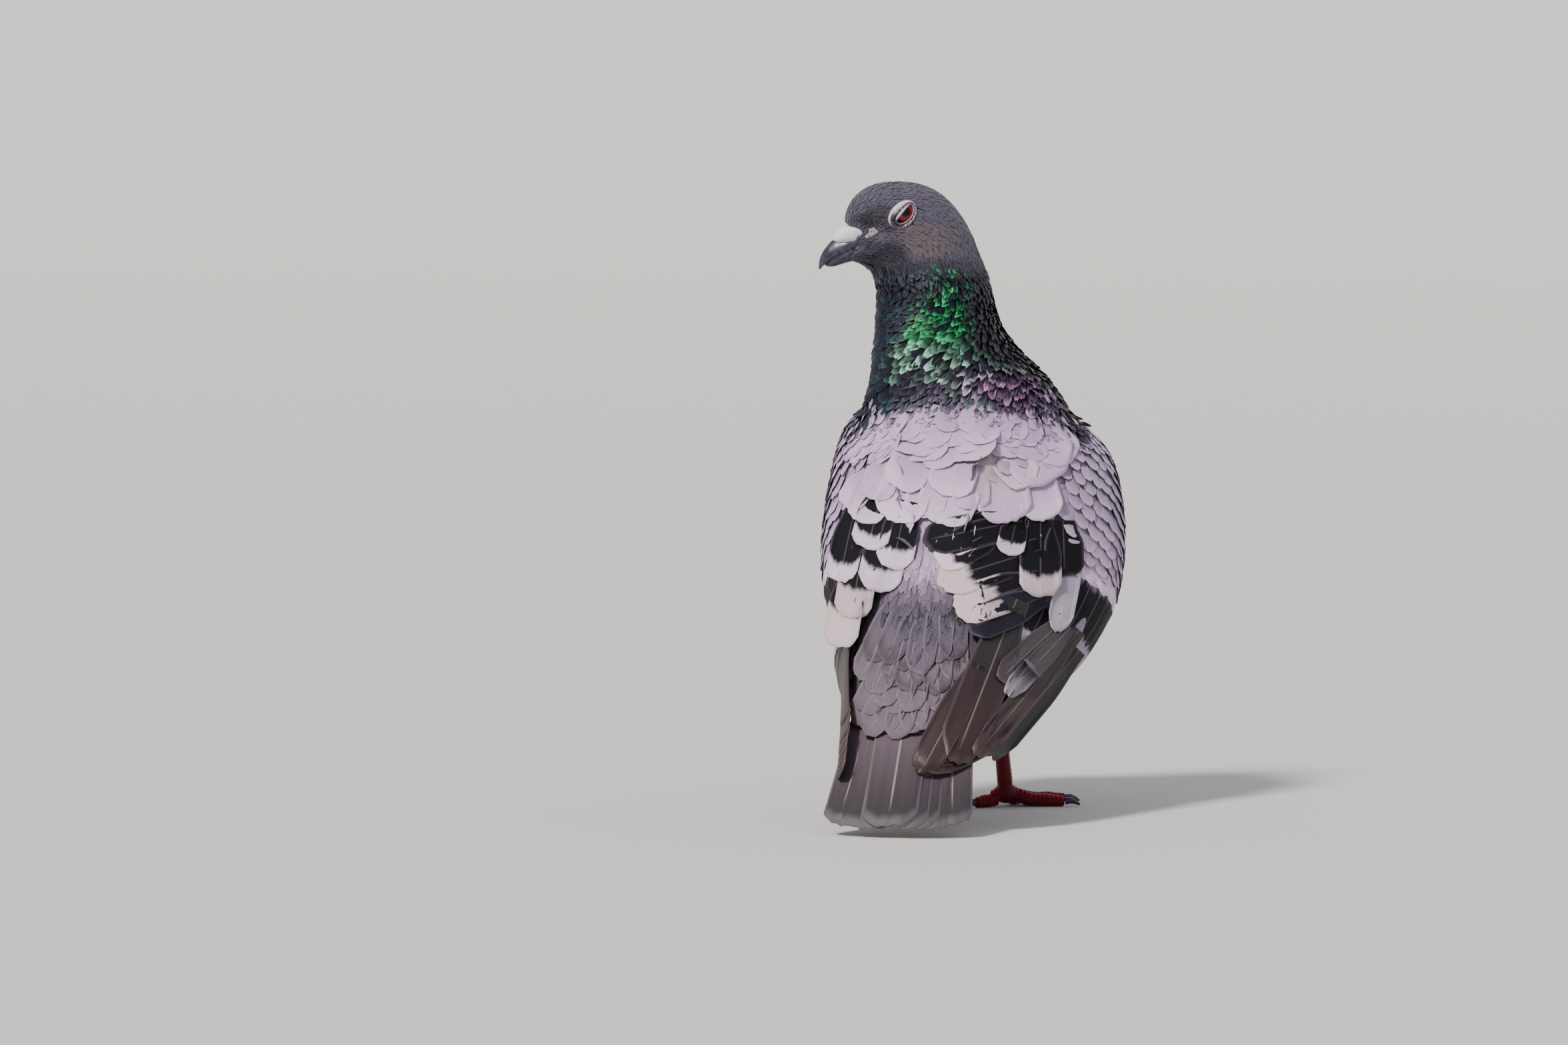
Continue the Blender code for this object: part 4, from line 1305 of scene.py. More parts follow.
def primaries():
    """The long narrow feathers of the wing's end, each lower one reaching a little further."""
    quills = []
    for k in range(PRIMARIES):
        share = k / (PRIMARIES - 1)
        start = (5.0 - 1.4 * share, 0.14 + 0.74 * share)
        end = (8.7 + 2.25 * share**0.7, 0.26 + 0.48 * share)
        quills.append(Quill(start, end, 11 - 2.0 * share, -0.4 - 0.06 * k, PRIMARY, RUSTY, (0.0, 0.6, 0.0)))
    return quills


def add_wings(coat, pad, rng):
    """Both folded wings: rows of coverts, two barred rows and the primaries. Gives their surface."""
    coat_tree, tree = tree_of(coat), tree_of(pad)
    shaft = (0.1, PALE)
    scale = vane_finish(
        "wing_covert_feather", (0.3, 0.45, 0.92), (0.4, PALE), shaft, 0.1, 0.7, Sheen_Weight=0.15
    )
    barred = vane_finish(
        "barred_feather", (0.15, 0.3, 0.9), (0.3, PALE), shaft, 0.14, 0.72, Specular_IOR_Level=0.25
    )
    worn_rim, pale_shaft = tint(150, 128, 120), tint(150, 132, 122)
    long = vane_finish("flight_feather", (0.2, 0.2, 0.7), (0.14, worn_rim), (0.5, pale_shaft), 0.3, 0.5, 0.32)
    sheets = []
    for side, word in SIDES:
        sheets += wing_coverts(side, word, tree, coat_tree, scale, rng)
        node = f"wing_primaries_{word}"
        for name, quills, vane, finish, slot, nodes, thick in (
            ("greater_coverts", greater_coverts(), GREATER_COVERT, barred, "wing_feathers", (), 0.2),
            ("secondaries", secondaries(), SECONDARY_VANE, barred, "flight_feathers", (), 0.2),
            ("primaries", primaries(), PRIMARY_VANE, long, "flight_feathers", (node,), 0.3),
        ):
            lines = np.stack([wing_line(side, q.start, q.end) for q in quills], 1)
            sheets += big_vanes(f"{name}_{word}", lines, quills, vane, finish, slot, rng, nodes, thick, side)
    return sheet_tree(sheets)


SCAPULAR = Vane(1.0, 1.0, 2.0, 0.05, 0.05, 0.3, 0.6, 14, 13, 0.02)
INNER_VANE = Vane(1.0, 1.0, 0.8, 0.05, 0.05, 0.24, 0.6, 16, 11, 0.02)

# Feathers that were each placed one by one, seen from behind: how far right and up their roots and tips are
# from the feet, their width, their height above the rest, their colour, their tip's colour and where that
# begins.
Laid = namedtuple("Laid", "root tip width height colour end change")
SCAPULARS = [
    Laid((-32.1, 119), (-39.6, 105.0), 10, 0.1, MANTLE, MANTLE, 0.8),
    Laid((-28.0, 121), (-34.4, 99.4), 14, 0.2, MANTLE, PALE, 0.8),
    Laid((-10.0, 120), (-13.5, 101.5), 14, 0.2, MANTLE, PALE, 0.8),
    Laid((-16.0, 124), (-22.8, 99.8), 18, 0.45, MANTLE, PALE, 0.8),
    Laid((-25.0, 124), (-30.5, 107.6), 12, 0.65, MANTLE, MANTLE, 0.8),
    Laid((-13.0, 129), (-22.0, 111.3), 15, 0.8, MANTLE, PALE, 0.85),
    Laid((24.5, 122), (29.5, 100.4), 15, 0.15, MANTLE, PALE, 0.8),
    Laid((4.0, 121), (3.0, 104.0), 13, 0.15, CREAM, MANTLE, 0.6),
    Laid((1.5, 122), (-8.4, 99.5), 20, 0.5, MANTLE, PALE, 0.8),
    Laid((12.5, 125), (15.8, 99.6), 19, 0.4, CREAM, MANTLE, 0.55),
    Laid((0.5, 127), (-5.2, 109.0), 16, 0.8, MANTLE, PALE, 0.85),
    Laid((13.0, 127), (24.5, 113.0), 13, 0.85, CREAM, PALE, 0.8),
    Laid((17.0, 138), (33.8, 115.4), 24, 0.9, MANTLE, MANTLE, 0.9),
    Laid((27.0, 136), (39.0, 121.0), 14, 0.7, MANTLE, MANTLE, 0.9),
]
LONG_COVERT = Vane(1.0, 1.0, 1.4, 0.0, 0.05, 0.26, 0.5, 12, 9, 0.02)
TAIL_COVERT_ROWS = ((27, 15.0), (34.5, 16.0), (42, 17.5), (49.5, 18.5))  # tips' height and reach
TAIL_COVERTS_A_ROW = 7
TAIL_COVERT_LENGTH = 25.0


def tail_middle(up):
    """Where the middle of the tail and rump is seen from behind, by height."""
    return -15.0 - 0.23 * (60 - up)


def tail_coverts(rng):
    """Long soft feathers in rows over the root of the tail, fanned out from its middle."""
    laid = []
    for row, (low, reach) in enumerate(TAIL_COVERT_ROWS):
        for k in range(TAIL_COVERTS_A_ROW):
            share = 2 * (k + 0.5 * (row % 2)) / (TAIL_COVERTS_A_ROW - 0.5) - 1
            end = low + rng.uniform(-2, 2) + 2.5 * share**2
            start = end + TAIL_COVERT_LENGTH
            tip = (tail_middle(end) + reach * share, end)
            root = (tail_middle(start) + 0.6 * reach * share, start)
            colour = mixed(COVERT_GREY, RUMP, float(fade(38, 58, low)))
            streaked = low > 41 and rng.random() < 0.5
            end_colour = BAR if streaked else colour
            laid.append(Laid(root, tip, 10, row - 0.3 * abs(share) + 0.1 * (k % 2), colour, end_colour, 0.93))
    return laid


INNER_LEFT = [
    Laid((-27.0, 113), (-32.8, 90.3), 13, 0.95, BAR, PALE, 0.78),
    Laid((-37.0, 106), (-42.6, 79.2), 11, 0.8, BAR, PALE, 0.78),
    Laid((-19.0, 108), (-24.3, 83.7), 13, 0.75, BAR, PALE, 0.74),
    Laid((-24.0, 102), (-29.7, 75.9), 15, 0.55, BAR, PALE, 0.72),
    Laid((-34.5, 92), (-38.6, 66.4), 13, 0.35, BAR, CREAM, 0.6),
    Laid((-38.5, 84), (-42.8, 56.6), 12, 0.1, BAR, CREAM, 0.55),
]
INNER_RIGHT = [
    Laid((29.0, 75), (1.4, 63.5), 12, 0.1, STORM, STORM, 0.5),
    Laid((27.6, 80), (-3.2, 70.0), 14, 0.35, BAR, CREAM, 0.52),
    Laid((27.6, 91), (-8.7, 79.5), 14, 0.6, BAR, CREAM, 0.72),
    Laid((16.0, 100), (-9.5, 86.5), 13, 0.8, BAR, PALE, 0.82),
    Laid((21.4, 101), (-13.5, 93.5), 12, 1.0, BAR, BAR, 0.5),
    Laid((36.0, 101), (35.5, 81.0), 14, 0.8, BAR, BAR, 0.5),
    Laid((40.5, 94), (32.6, 61.8), 9, 0.65, SECONDARY, TERTIAL, 0.5),
    Laid((28.0, 101), (26.8, 73.8), 15, 1.05, BAR, CREAM, 0.74),
    Laid((19.8, 103), (16.0, 88.5), 10, 1.25, BAR, PALE, 0.72),
]
OUTER_RIGHT = [
    Laid((5.0, 52), (-16.0, 14.4), 11, 0.0, PRIMARY, RUSTY, 0.4),
    Laid((41.0, 56), (8.0, 20.0), 9, 0.05, PRIMARY, PRIMARY, 0.5),
    Laid((19.0, 74), (-4.4, 18.2), 16, 0.2, PRIMARY, RUSTY, 0.45),
    Laid((41.0, 63), (2.6, 20.4), 8.5, 0.35, ROSY, ROSY, 0.5),
    Laid((36.0, 67), (11.2, 45.6), 9, 0.6, TAUPE, TAUPE, 0.5),
    Laid((38.0, 64), (13.8, 40.6), 7.5, 0.75, TAUPE, TERTIAL, 0.88),
]


def view_ways():
    """To the right, up and towards the onlooker, for the side from which the bird is mostly seen."""
    level = math.cos(VIEW_RISE)
    back = Vector((-math.sin(VIEW_TURN) * level, math.cos(VIEW_TURN) * level, math.sin(VIEW_RISE)))
    right = (-back).cross(Vector((0, 0, 1))).normalized()
    return right, right.cross(-back).normalized(), back


OFF_THE_BACK = 0.3  # metres behind the bird from where the surfaces are looked for
STEEPEST = 1.5  # how fast a placed feather may fall away from the onlooker over a hollow
EASINGS = 6
LAYER = 0.3  # how far each placed feather stands off those below it
LAID_THICK = 0.12


def eased(depths):
    """Each value drawn towards the ones beside it."""
    wide = np.pad(depths, 1, mode="edge")
    return (4 * depths + wide[:-2, 1:-1] + wide[2:, 1:-1] + wide[1:-1, :-2] + wide[1:-1, 2:]) / 8


def sheet_tree(sheets):
    """The surface of the feathers that were laid so far."""
    corners, faces = [], []
    for sheet in sheets:
        rows, columns = sheet.shape[:2]
        index = len(corners) + np.arange(rows * columns).reshape(rows, columns)
        corners += sheet.reshape(-1, 3).tolist()
        faces += grid_faces(index).tolist()
    return BVHTree.FromPolygons(corners, faces)


def seen_vane(trees, feather, vane):
    """A vane laid on surfaces as seen from behind, bridging their hollows, with the ways out there."""
    right, up, back = view_ways()
    length, width, _, along = vane_outline(vane)
    root, tip = np.array(feather.root, float), np.array(feather.tip, float)
    way = (tip - root) / np.linalg.norm(tip - root)
    aside = np.array((-way[1], way[0]))
    worn = 1 + vane.ragged * WEAR.uniform(-1, 1, vane.columns)[None, :] * fade(0.4, 1.0, along)[:, None]
    spots = root + (tip - root) * (length * worn)[..., None] + aside * (width * feather.width / 2)[..., None]
    offsets = (spots[..., :1] * np.array(right) + spots[..., 1:] * np.array(up)) * MM
    starts = np.array(ORIGIN + back * OFF_THE_BACK) + offsets
    far = np.full(length.shape, np.inf)
    for spot in np.ndindex(length.shape):
        start = Vector(starts[spot])
        gaps = [tree.ray_cast(start, -back)[3] for tree in trees]
        far[spot] = min([gap / MM for gap in gaps if gap is not None], default=np.inf)
    flat = spots.reshape(-1, 2)
    apart = np.linalg.norm(flat[:, None] - flat[None], axis=-1)
    taut = (far.reshape(1, -1) + STEEPEST * apart).min(1).reshape(length.shape)
    depths = taut
    for _ in range(EASINGS):
        depths = np.minimum(eased(depths), taut)
    points = starts - np.array(back) * depths[..., None] * MM
    ways = turned(np.cross(np.gradient(points, axis=1), np.gradient(points, axis=0)))
    ways = ways * np.sign(ways @ np.array(back))[..., None]
    return points, turned(ways + 1.5 * turned(ways.mean((0, 1))))


def quill_marks(quills, rng):
    """Marks for large feathers, each a little lighter or darker than the next."""
    tone = rng.random(len(quills))
    shade = (0.92 + 0.16 * tone)[:, None]
    colours = np.array([q.colour for q in quills]) * shade
    tips = np.array([q.tip for q in quills]) * shade
    return Marks(colours, tips, np.array([q.bar for q in quills], float), tone)


def row_patches(count):
    """Places side by side on the unwrapped skin for a row of large feathers."""
    spots = (np.arange(count) + 0.5) / count
    return patches(np.stack([spots, np.full(count, 0.5)], 1), 0.8 / count, 0.9)


def add_laid(name, laid, trees, sheets, vane, finish, slot, rng):
    """One piece of listed feathers, the higher ones over the lower and over earlier sheets."""
    laid = sorted(laid, key=lambda feather: feather.height)
    points, outs = np.zeros((2, len(laid), vane.rows, vane.columns, 3))
    for n, feather in enumerate(laid):
        flat, ways = seen_vane(trees + [sheet_tree(sheets)] if sheets else trees, feather, vane)
        points[n], outs[n] = raised(flat[None], ways[None], vane, np.array([LAYER]))[0], ways
        sheets.append(points[n])
    quills = [Quill(None, None, f.width, f.height, f.colour, f.end, (0.0, f.change, 0.0)) for f in laid]
    mesh = vane_mesh(name, vane, points, outs, quill_marks(quills, rng), row_patches(len(laid)), LAID_THICK)
    return finished(new_object(name, mesh), finish, slot)


def add_placed_feathers(pad, rear, laid_before, rng):
    """The large rounded feathers of the shoulders, and the inner wing feathers that show below them."""
    trees = [tree_of(pad)] + laid_before
    pale = vane_finish(
        "scapular_feather", (0.3, 0.1, 0.7), (0.4, PALE), (0.2, PALE), 0.2, 0.7, 0.25, Specular_IOR_Level=0.3
    )
    faint = (0.08, PALE)
    dark = vane_finish(
        "tertial_feather", (0.1, 0.2, 0.8), faint, faint, 0.2, 0.75, 0.05, Specular_IOR_Level=0.2
    )
    grey = vane_finish(
        "tail_covert_vane", (0.12, 0.1, 0.7), (0.1, PALE), (0.14, PALE), 0.26, 0.72, 0.25, Sheen_Weight=0.15
    )
    sheets = []
    laid = tail_coverts(rng)
    add_laid("long_tail_coverts", laid, [tree_of(rear)], sheets, LONG_COVERT, grey, "tail_feathers", rng)
    flight = bpy.data.materials["flight_feather"]
    for name, laid, vane, finish, slot in (
        ("placed_primaries", OUTER_RIGHT, INNER_VANE, flight, "flight_feathers"),
        ("tertials_left", INNER_LEFT, INNER_VANE, dark, "flight_feathers"),
        ("tertials_right", INNER_RIGHT, INNER_VANE, dark, "flight_feathers"),
        ("scapulars", SCAPULARS, SCAPULAR, pale, "body_feathers"),
    ):
        add_laid(name, laid, trees, sheets, vane, finish, slot, rng)


TAIL_VANE = Vane(1.0, 1.0, 0.0, 0.0, 0.6, 0.085, 0.7, 16, 11, 0.008)
TAIL_THICK = 0.45
TAIL_FEATHER = (13.6, 0.0)  # the width and the height of a tail feather, and of the one that lies on top
TOP_FEATHER = (19.0, 0.7)


def add_tail(rng):
    """Twelve tail feathers that overlap from the middle pair outwards."""
    rim, shaft = tint(150, 140, 148), tint(184, 174, 176)
    finish = vane_finish("tail_feather", (0.1, 0.0, 0.5), (0.4, rim), (0.5, shaft), 0.16, 0.65, 0.32)
    lines, quills = [], []
    out = Vector((0, TAIL_SLOPE, 1)).normalized()
    for place in range(TAIL_PAIRS):
        for side in (1, -1):
            share = (place + (0.5 if side > 0 else 0.35)) / TAIL_PAIRS
            low = 0.6 * (place + (0.5 if side > 0 else 0.0))
            tip_forward = TAIL_TIP + 1.2 * place * share + 0.6
            tip_up = TAIL_TOP_HEIGHT + TAIL_SLOPE * (tip_forward - TAIL_ROOT) - low
            root = placed((TAIL_CENTRE + side * share * TAIL_ROOT_SPREAD, TAIL_ROOT, TAIL_TOP_HEIGHT - low))
            tip = placed((TAIL_CENTRE + side * share * (TAIL_HALF_WIDTH - 5.2), tip_forward, tip_up))
            ahead = (tip - root).normalized()
            lean_out = Vector((0.12 * side * share, 0, 0))
            way_out = (out + lean_out).normalized()
            steps = range(LARGE_STATIONS)
            line = [(root + (tip - root) * k / (LARGE_STATIONS - 1), ahead, way_out) for k in steps]
            lines.append(np.array(line).transpose(1, 0, 2))
            width, height = TOP_FEATHER if place == 0 and side > 0 else TAIL_FEATHER
            quills.append(Quill(None, None, width, height, TAIL_GREY, TAIL_BAND, (0.0, 0.66, 0.0)))
    lines = np.stack(lines, 1)
    big_vanes("tail_vanes", lines, quills, TAIL_VANE, finish, "tail_feathers", rng, ("tail",), TAIL_THICK)


# ---------------------------------------------------------------------------
# Building it all
# ---------------------------------------------------------------------------


def head_rib(top, bottom, half_width, taper=0.0):
    """An upright section across the head: its top and bottom as (ahead, up) from between the eyes."""
    rise = HEAD_PLACE.z
    top, bottom = (top[0], top[1] + rise), (bottom[0], bottom[1] + rise)
    return rib(top, bottom, half_width, HEAD_TURN, HEAD_PLACE.xy, taper)


def smooth_mesh(name, corners, faces):
    """A mesh of these corners and faces, shaded smooth."""
    mesh = bpy.data.meshes.new(name)
    mesh.from_pydata(corners, [], faces)
    mesh.polygons.foreach_set("use_smooth", [True] * len(faces))
    return mesh


def ring_faces(rings, points):
    """The faces between rings that each have this many points."""
    faces = []
    for first in range(0, (rings - 1) * points, points):
        for k in range(points):
            after = first + (k + 1) % points
            faces.append((first + k, after, after + points, first + points + k))
    return faces


def face_loft(name, ribs, steps, points, edge=1.0, groove=0.0):
    """A smooth closed shape through sections of the face. edge below 1 squares its under side's corners."""
    rings = []
    for j in range((len(ribs) - 1) * steps + 1):
        dorsal, ventral, side, taper = row_at(ribs, j / steps)
        centre, up = (dorsal + ventral) / 2, (dorsal - ventral) / 2
        for k in range(points):
            angle = 2 * math.pi * k / points
            rise, reach = math.cos(angle), math.sin(angle)
            if rise < 0:
                rise = -(abs(rise) ** edge)
            rise -= groove * math.exp(-((reach / 0.22) ** 2)) * max(rise, 0)
            rings.append(placed(centre + up * rise + side * (reach * (1 - taper * rise))))
    count = len(rings) // points
    faces = ring_faces(count, points)
    faces += [tuple(range(points))[::-1], tuple(range((count - 1) * points, count * points))]
    return facing_out(new_object(name, smooth_mesh(name, rings, faces)))


def facing_out(piece):
    """Turns every face of a closed piece outwards."""
    only(piece)
    bpy.ops.object.mode_set(mode="EDIT")
    bpy.ops.mesh.select_all(action="SELECT")
    bpy.ops.mesh.normals_make_consistent(inside=False)
    bpy.ops.object.mode_set(mode="OBJECT")
    return piece


def roughened(piece, scale, depth, detail=2):
    """Raises small rounded lumps over a piece, in millimetres."""
    places, normals = vertex_arrays(piece.data)
    for n, place in enumerate(places):
        spot = Vector(place) * scale
        lump = sum(noise.noise(spot * 2**k) / 2**k for k in range(detail))
        places[n] += normals[n] * lump * depth * MM
    move_points(piece.data, places)
    return piece


def horn_finish():
    """The bill: slate horn in two tones, paler and flaking at the cutting edges, with a painted shadow under
    the cere.
    """
    made = Finish("bill_horn", 0.36, Specular_IOR_Level=0.55, Coat_Weight=0.15)
    place = made.place()
    grain = made.noise(place, 420.0, 4.0)
    colour = made.mix(made.fade(0.35, 0.7, grain), tint(34, 32, 48), tint(66, 65, 92))
    flakes = made.fade(0.38, 0.58, made.noise(place, 700.0, 3.0))
    worn = made.times(made.attribute("Worn", "Fac"), flakes)
    colour = made.mix(worn, colour, tint(150, 136, 150))
    # Painted shadow: a dark line on the bill under the cere's overhang.
    colour = made.mix(made.attribute("NostrilShadow", "Fac"), colour, tint(16, 13, 18))
    made.bump(made.noise(place, 1500.0, 3.0), 0.25, 0.0002)
    return made.paint(colour)


def cere_finish(name, dark, bright):
    """Bare powdery skin with fine wrinkles."""
    made = Finish(name, 0.85, Subsurface_Weight=0.1)
    place = made.place()
    fine = made.noise(place, 1300.0, 5.0, 0.65)
    colour = made.mix(made.fade(0.35, 0.62, fine), dark, bright)
    made.bump(fine, 0.4, 0.0003)
    return made.paint(colour)


def lid_finish():
    """The bare rings round the eye: whitish lavender, lighter on the folds and rims, partly by their own pale
    colour and partly by painted light, with painted shade in the creases, towards the outer edge and at the
    corners.
    """
    made = Finish("lid_skin", 0.6, Subsurface_Weight=0.1)
    fine = made.noise(made.place(), 1700.0, 4.0, 0.6)
    # How lit each place is: painted light on the raised folds and rims, painted shade in the creases, the
    # edge and corners.
    fold = made.attribute("FoldLightAndShade", "Fac")
    colour = made.mix(made.fade(0.15, 0.75, fold), tint(98, 82, 98), tint(234, 220, 230))
    colour = made.brighten(colour, made.fade(-0.6, 0.7, fine))
    made.bump(fine, 0.7, 0.0002)
    return made.paint(colour)


def eye_finish():
    """A wet eyeball: a black pupil, an iris of fine spokes from orange to deep red with painted lid shade,
    and a dark rim.
    """
    made = Finish("eye", 0.25, Coat_Weight=0.3, Coat_Roughness=0.05, Specular_IOR_Level=0.2)
    x, y, _ = made.split(made.attribute("Gaze", "Vector"))
    out = made.math("SQRT", made.plus(made.times(x, x), made.times(y, y)))
    spoke_x = made.times(made.math("DIVIDE", x, out), 5.0)
    spoke_y = made.times(made.math("DIVIDE", y, out), 5.0)
    spokes = made.noise(made.vector(spoke_x, spoke_y, made.times(out, 0.5)), 2.4, 4.0, 0.6)
    colour = made.mix(made.fade(1.5, 3.2, out), tint(170, 20, 5), tint(124, 4, 2))
    colour = made.brighten(colour, made.fade(0.1, 0.75, spokes))
    colour = made.mix(made.fade(3.0, 3.7, out), colour, tint(44, 18, 20))
    # Painted shadow of the upper lid: the iris grows darker towards its front and top.
    towards_upper_lid = made.plus(made.times(x, OPENING_AXIS[1]), made.times(y, -OPENING_AXIS[0]))
    colour = made.brighten(colour, made.minus(1.0, made.times(made.fade(0.0, 1.5, towards_upper_lid), 0.9)))
    colour = made.mix(made.fade(1.85, 1.7, out), colour, (0.002, 0.002, 0.003))
    return made.paint(colour)


BALL_RINGS = 47
BALL_TURNS = 64


def ball_mesh(name, centre, radius):
    """A round ball of level rings of points, whose faces come in the same order each time."""
    corners = [centre + Vector((0, 0, radius))]
    for ring in range(1, BALL_RINGS + 1):
        tilt = math.pi * ring / (BALL_RINGS + 1)
        for k in range(BALL_TURNS):
            turn = 2 * math.pi * k / BALL_TURNS
            level = Vector((math.cos(turn), math.sin(turn), 0)) * math.sin(tilt)
            corners.append(centre + (level + Vector((0, 0, math.cos(tilt)))) * radius)
    corners.append(centre - Vector((0, 0, radius)))
    faces = [tuple(corner + 1 for corner in face[::-1]) for face in ring_faces(BALL_RINGS, BALL_TURNS)]
    bottom = len(corners) - 1
    lowest = bottom - BALL_TURNS
    for k in range(BALL_TURNS):
        after = (k + 1) % BALL_TURNS
        faces += [(0, 1 + k, 1 + after), (bottom, lowest + after, lowest + k)]
    return smooth_mesh(name, corners, faces)


def add_eye(side, word, finish):
    """An eyeball with its clear front standing a little proud, turned straight out of the head."""
    centre = on_head(EYE_FORWARD, EYE_APART * side, 0.0)
    mesh = ball_mesh(f"eyeball_{word}", centre, (EYE_RADIUS - 0.05) * MM)
    ball = new_object(mesh.name, mesh)
    places, _ = vertex_arrays(ball.data)
    out = np.array(HEAD_ACROSS) * side
    offset = (places - np.array(centre)) / MM
    x, y, z = offset @ np.array(HEAD_AHEAD), offset[:, 2], offset @ out
    near = 1 - fade(2.2, 3.6, np.hypot(x, y))
    places = places + out * (near * (z > 0) * 0.22)[:, None] * MM
    move_points(ball.data, places)
    gaze = np.stack([x - GAZE[0], y - GAZE[1], z], 1).astype(np.float32)
    ball.data.attributes.new("Gaze", "FLOAT_VECTOR", "POINT").data.foreach_set("vector", gaze.ravel())
    finished(ball, finish, "eye", f"eye_{word}")


LID_RINGS = 34
LID_TURNS = 96


def on_axis(centre, axis, long, short):
    """The (ahead, up) of points given along and across a slanting axis."""
    return centre[0] + axis[0] * long + axis[1] * short, centre[1] + axis[1] * long - axis[0] * short


def add_lids(side, word, tree, finish):
    """Bare folded lids: a thick double fold over the front and top of the eye, and a thin rim below it."""
    share = np.linspace(-0.06, 1.0, LID_RINGS)[:, None]
    angle = np.linspace(0, 2 * math.pi, LID_TURNS, endpoint=False)[None, :]
    along, over = np.cos(angle), np.sin(angle)
    upper = fade(-0.45, 0.35, over)
    half, above, below = OPENING_HALF
    inner = on_axis(OPENING_CENTRE, OPENING_AXIS, half * along, np.where(over > 0, above, below) * over)
    long, short = LID_HALF
    outer = on_axis(LID_CENTRE, LID_AXIS, long * along, np.where(over > 0, short, LOWER_LID) * over)
    ahead, rise = (near + (far - near) * share for near, far in zip(inner, outer))
    rim = np.exp(-(((share - 0.14) / 0.1) ** 2)) * (0.22 + 0.2 * upper)
    fold = np.exp(-(((share - 0.64) / 0.2) ** 2)) * (0.12 + 0.85 * upper)
    crease = np.exp(-(((share - 0.34) / 0.05) ** 2)) * (0.05 + 0.1 * upper)
    waves = np.sin(17 * angle + 6 * share) + np.sin(29 * angle - 9 * share + 2) + np.sin(41 * angle)
    wrinkles = waves * window(0.2, 0.4, 0.85, 1.0, share) * (0.16 - 0.1 * upper)
    height = rim + fold - crease + 0.2 * wrinkles
    height = height - 0.75 * fade(0.8, 1.0, share) - 0.5 * fade(0.02, -0.06, share)
    corners = []
    for r in range(LID_RINGS):
        for k in range(LID_TURNS):
            a, b = ahead[r, k], rise[r, k]
            ball = EYE_APART + math.sqrt(max(EYE_RADIUS**2 - (a - EYE_FORWARD) ** 2 - b**2, 0.5))
            hit = tree.ray_cast(on_head(a, side * CLEAR_OF_HEAD, b), -HEAD_ACROSS * side)[0]
            skin_level = (hit - HEAD_CENTRE).dot(HEAD_ACROSS) / MM * side if hit else ball
            blend = float(fade(0.3, 0.85, share[r, 0]))
            level = ball * (1 - blend) + skin_level * blend + 0.12
            corners.append(on_head(a, side * (level + height[r, k]), b))
    faces = ring_faces(LID_RINGS, LID_TURNS)
    if side > 0:
        faces = [face[::-1] for face in faces]
    mesh = smooth_mesh(f"lids_{word}", corners, faces)
    # Painted light and shade: the raised folds and rims lighter, the creases, the outer edge and the corners
    # darker.
    lit = np.clip(rim * (2.6 - 1.4 * upper) + fold * 1.1 + 0.15 + wrinkles - crease * 6, 0, 1)
    lit = lit * (1 - 0.6 * fade(0.86, 1.0, share)) * (1 - 0.35 * np.abs(along) ** 6)
    float_attribute(mesh, "FoldLightAndShade", lit.ravel())
    finished(roughened(new_object(mesh.name, mesh), 900.0, 0.1, 3), finish, "eye")


# Where the mandibles meet, by how far ahead of the eyes it is.
MOUTH_LINE = ((13, 16.2, 20.5, 24.6, 27.2, 29.2, 30.1), (-11.0, -11.6, -12.6, -14.8, -16.5, -17.9, -18.9))


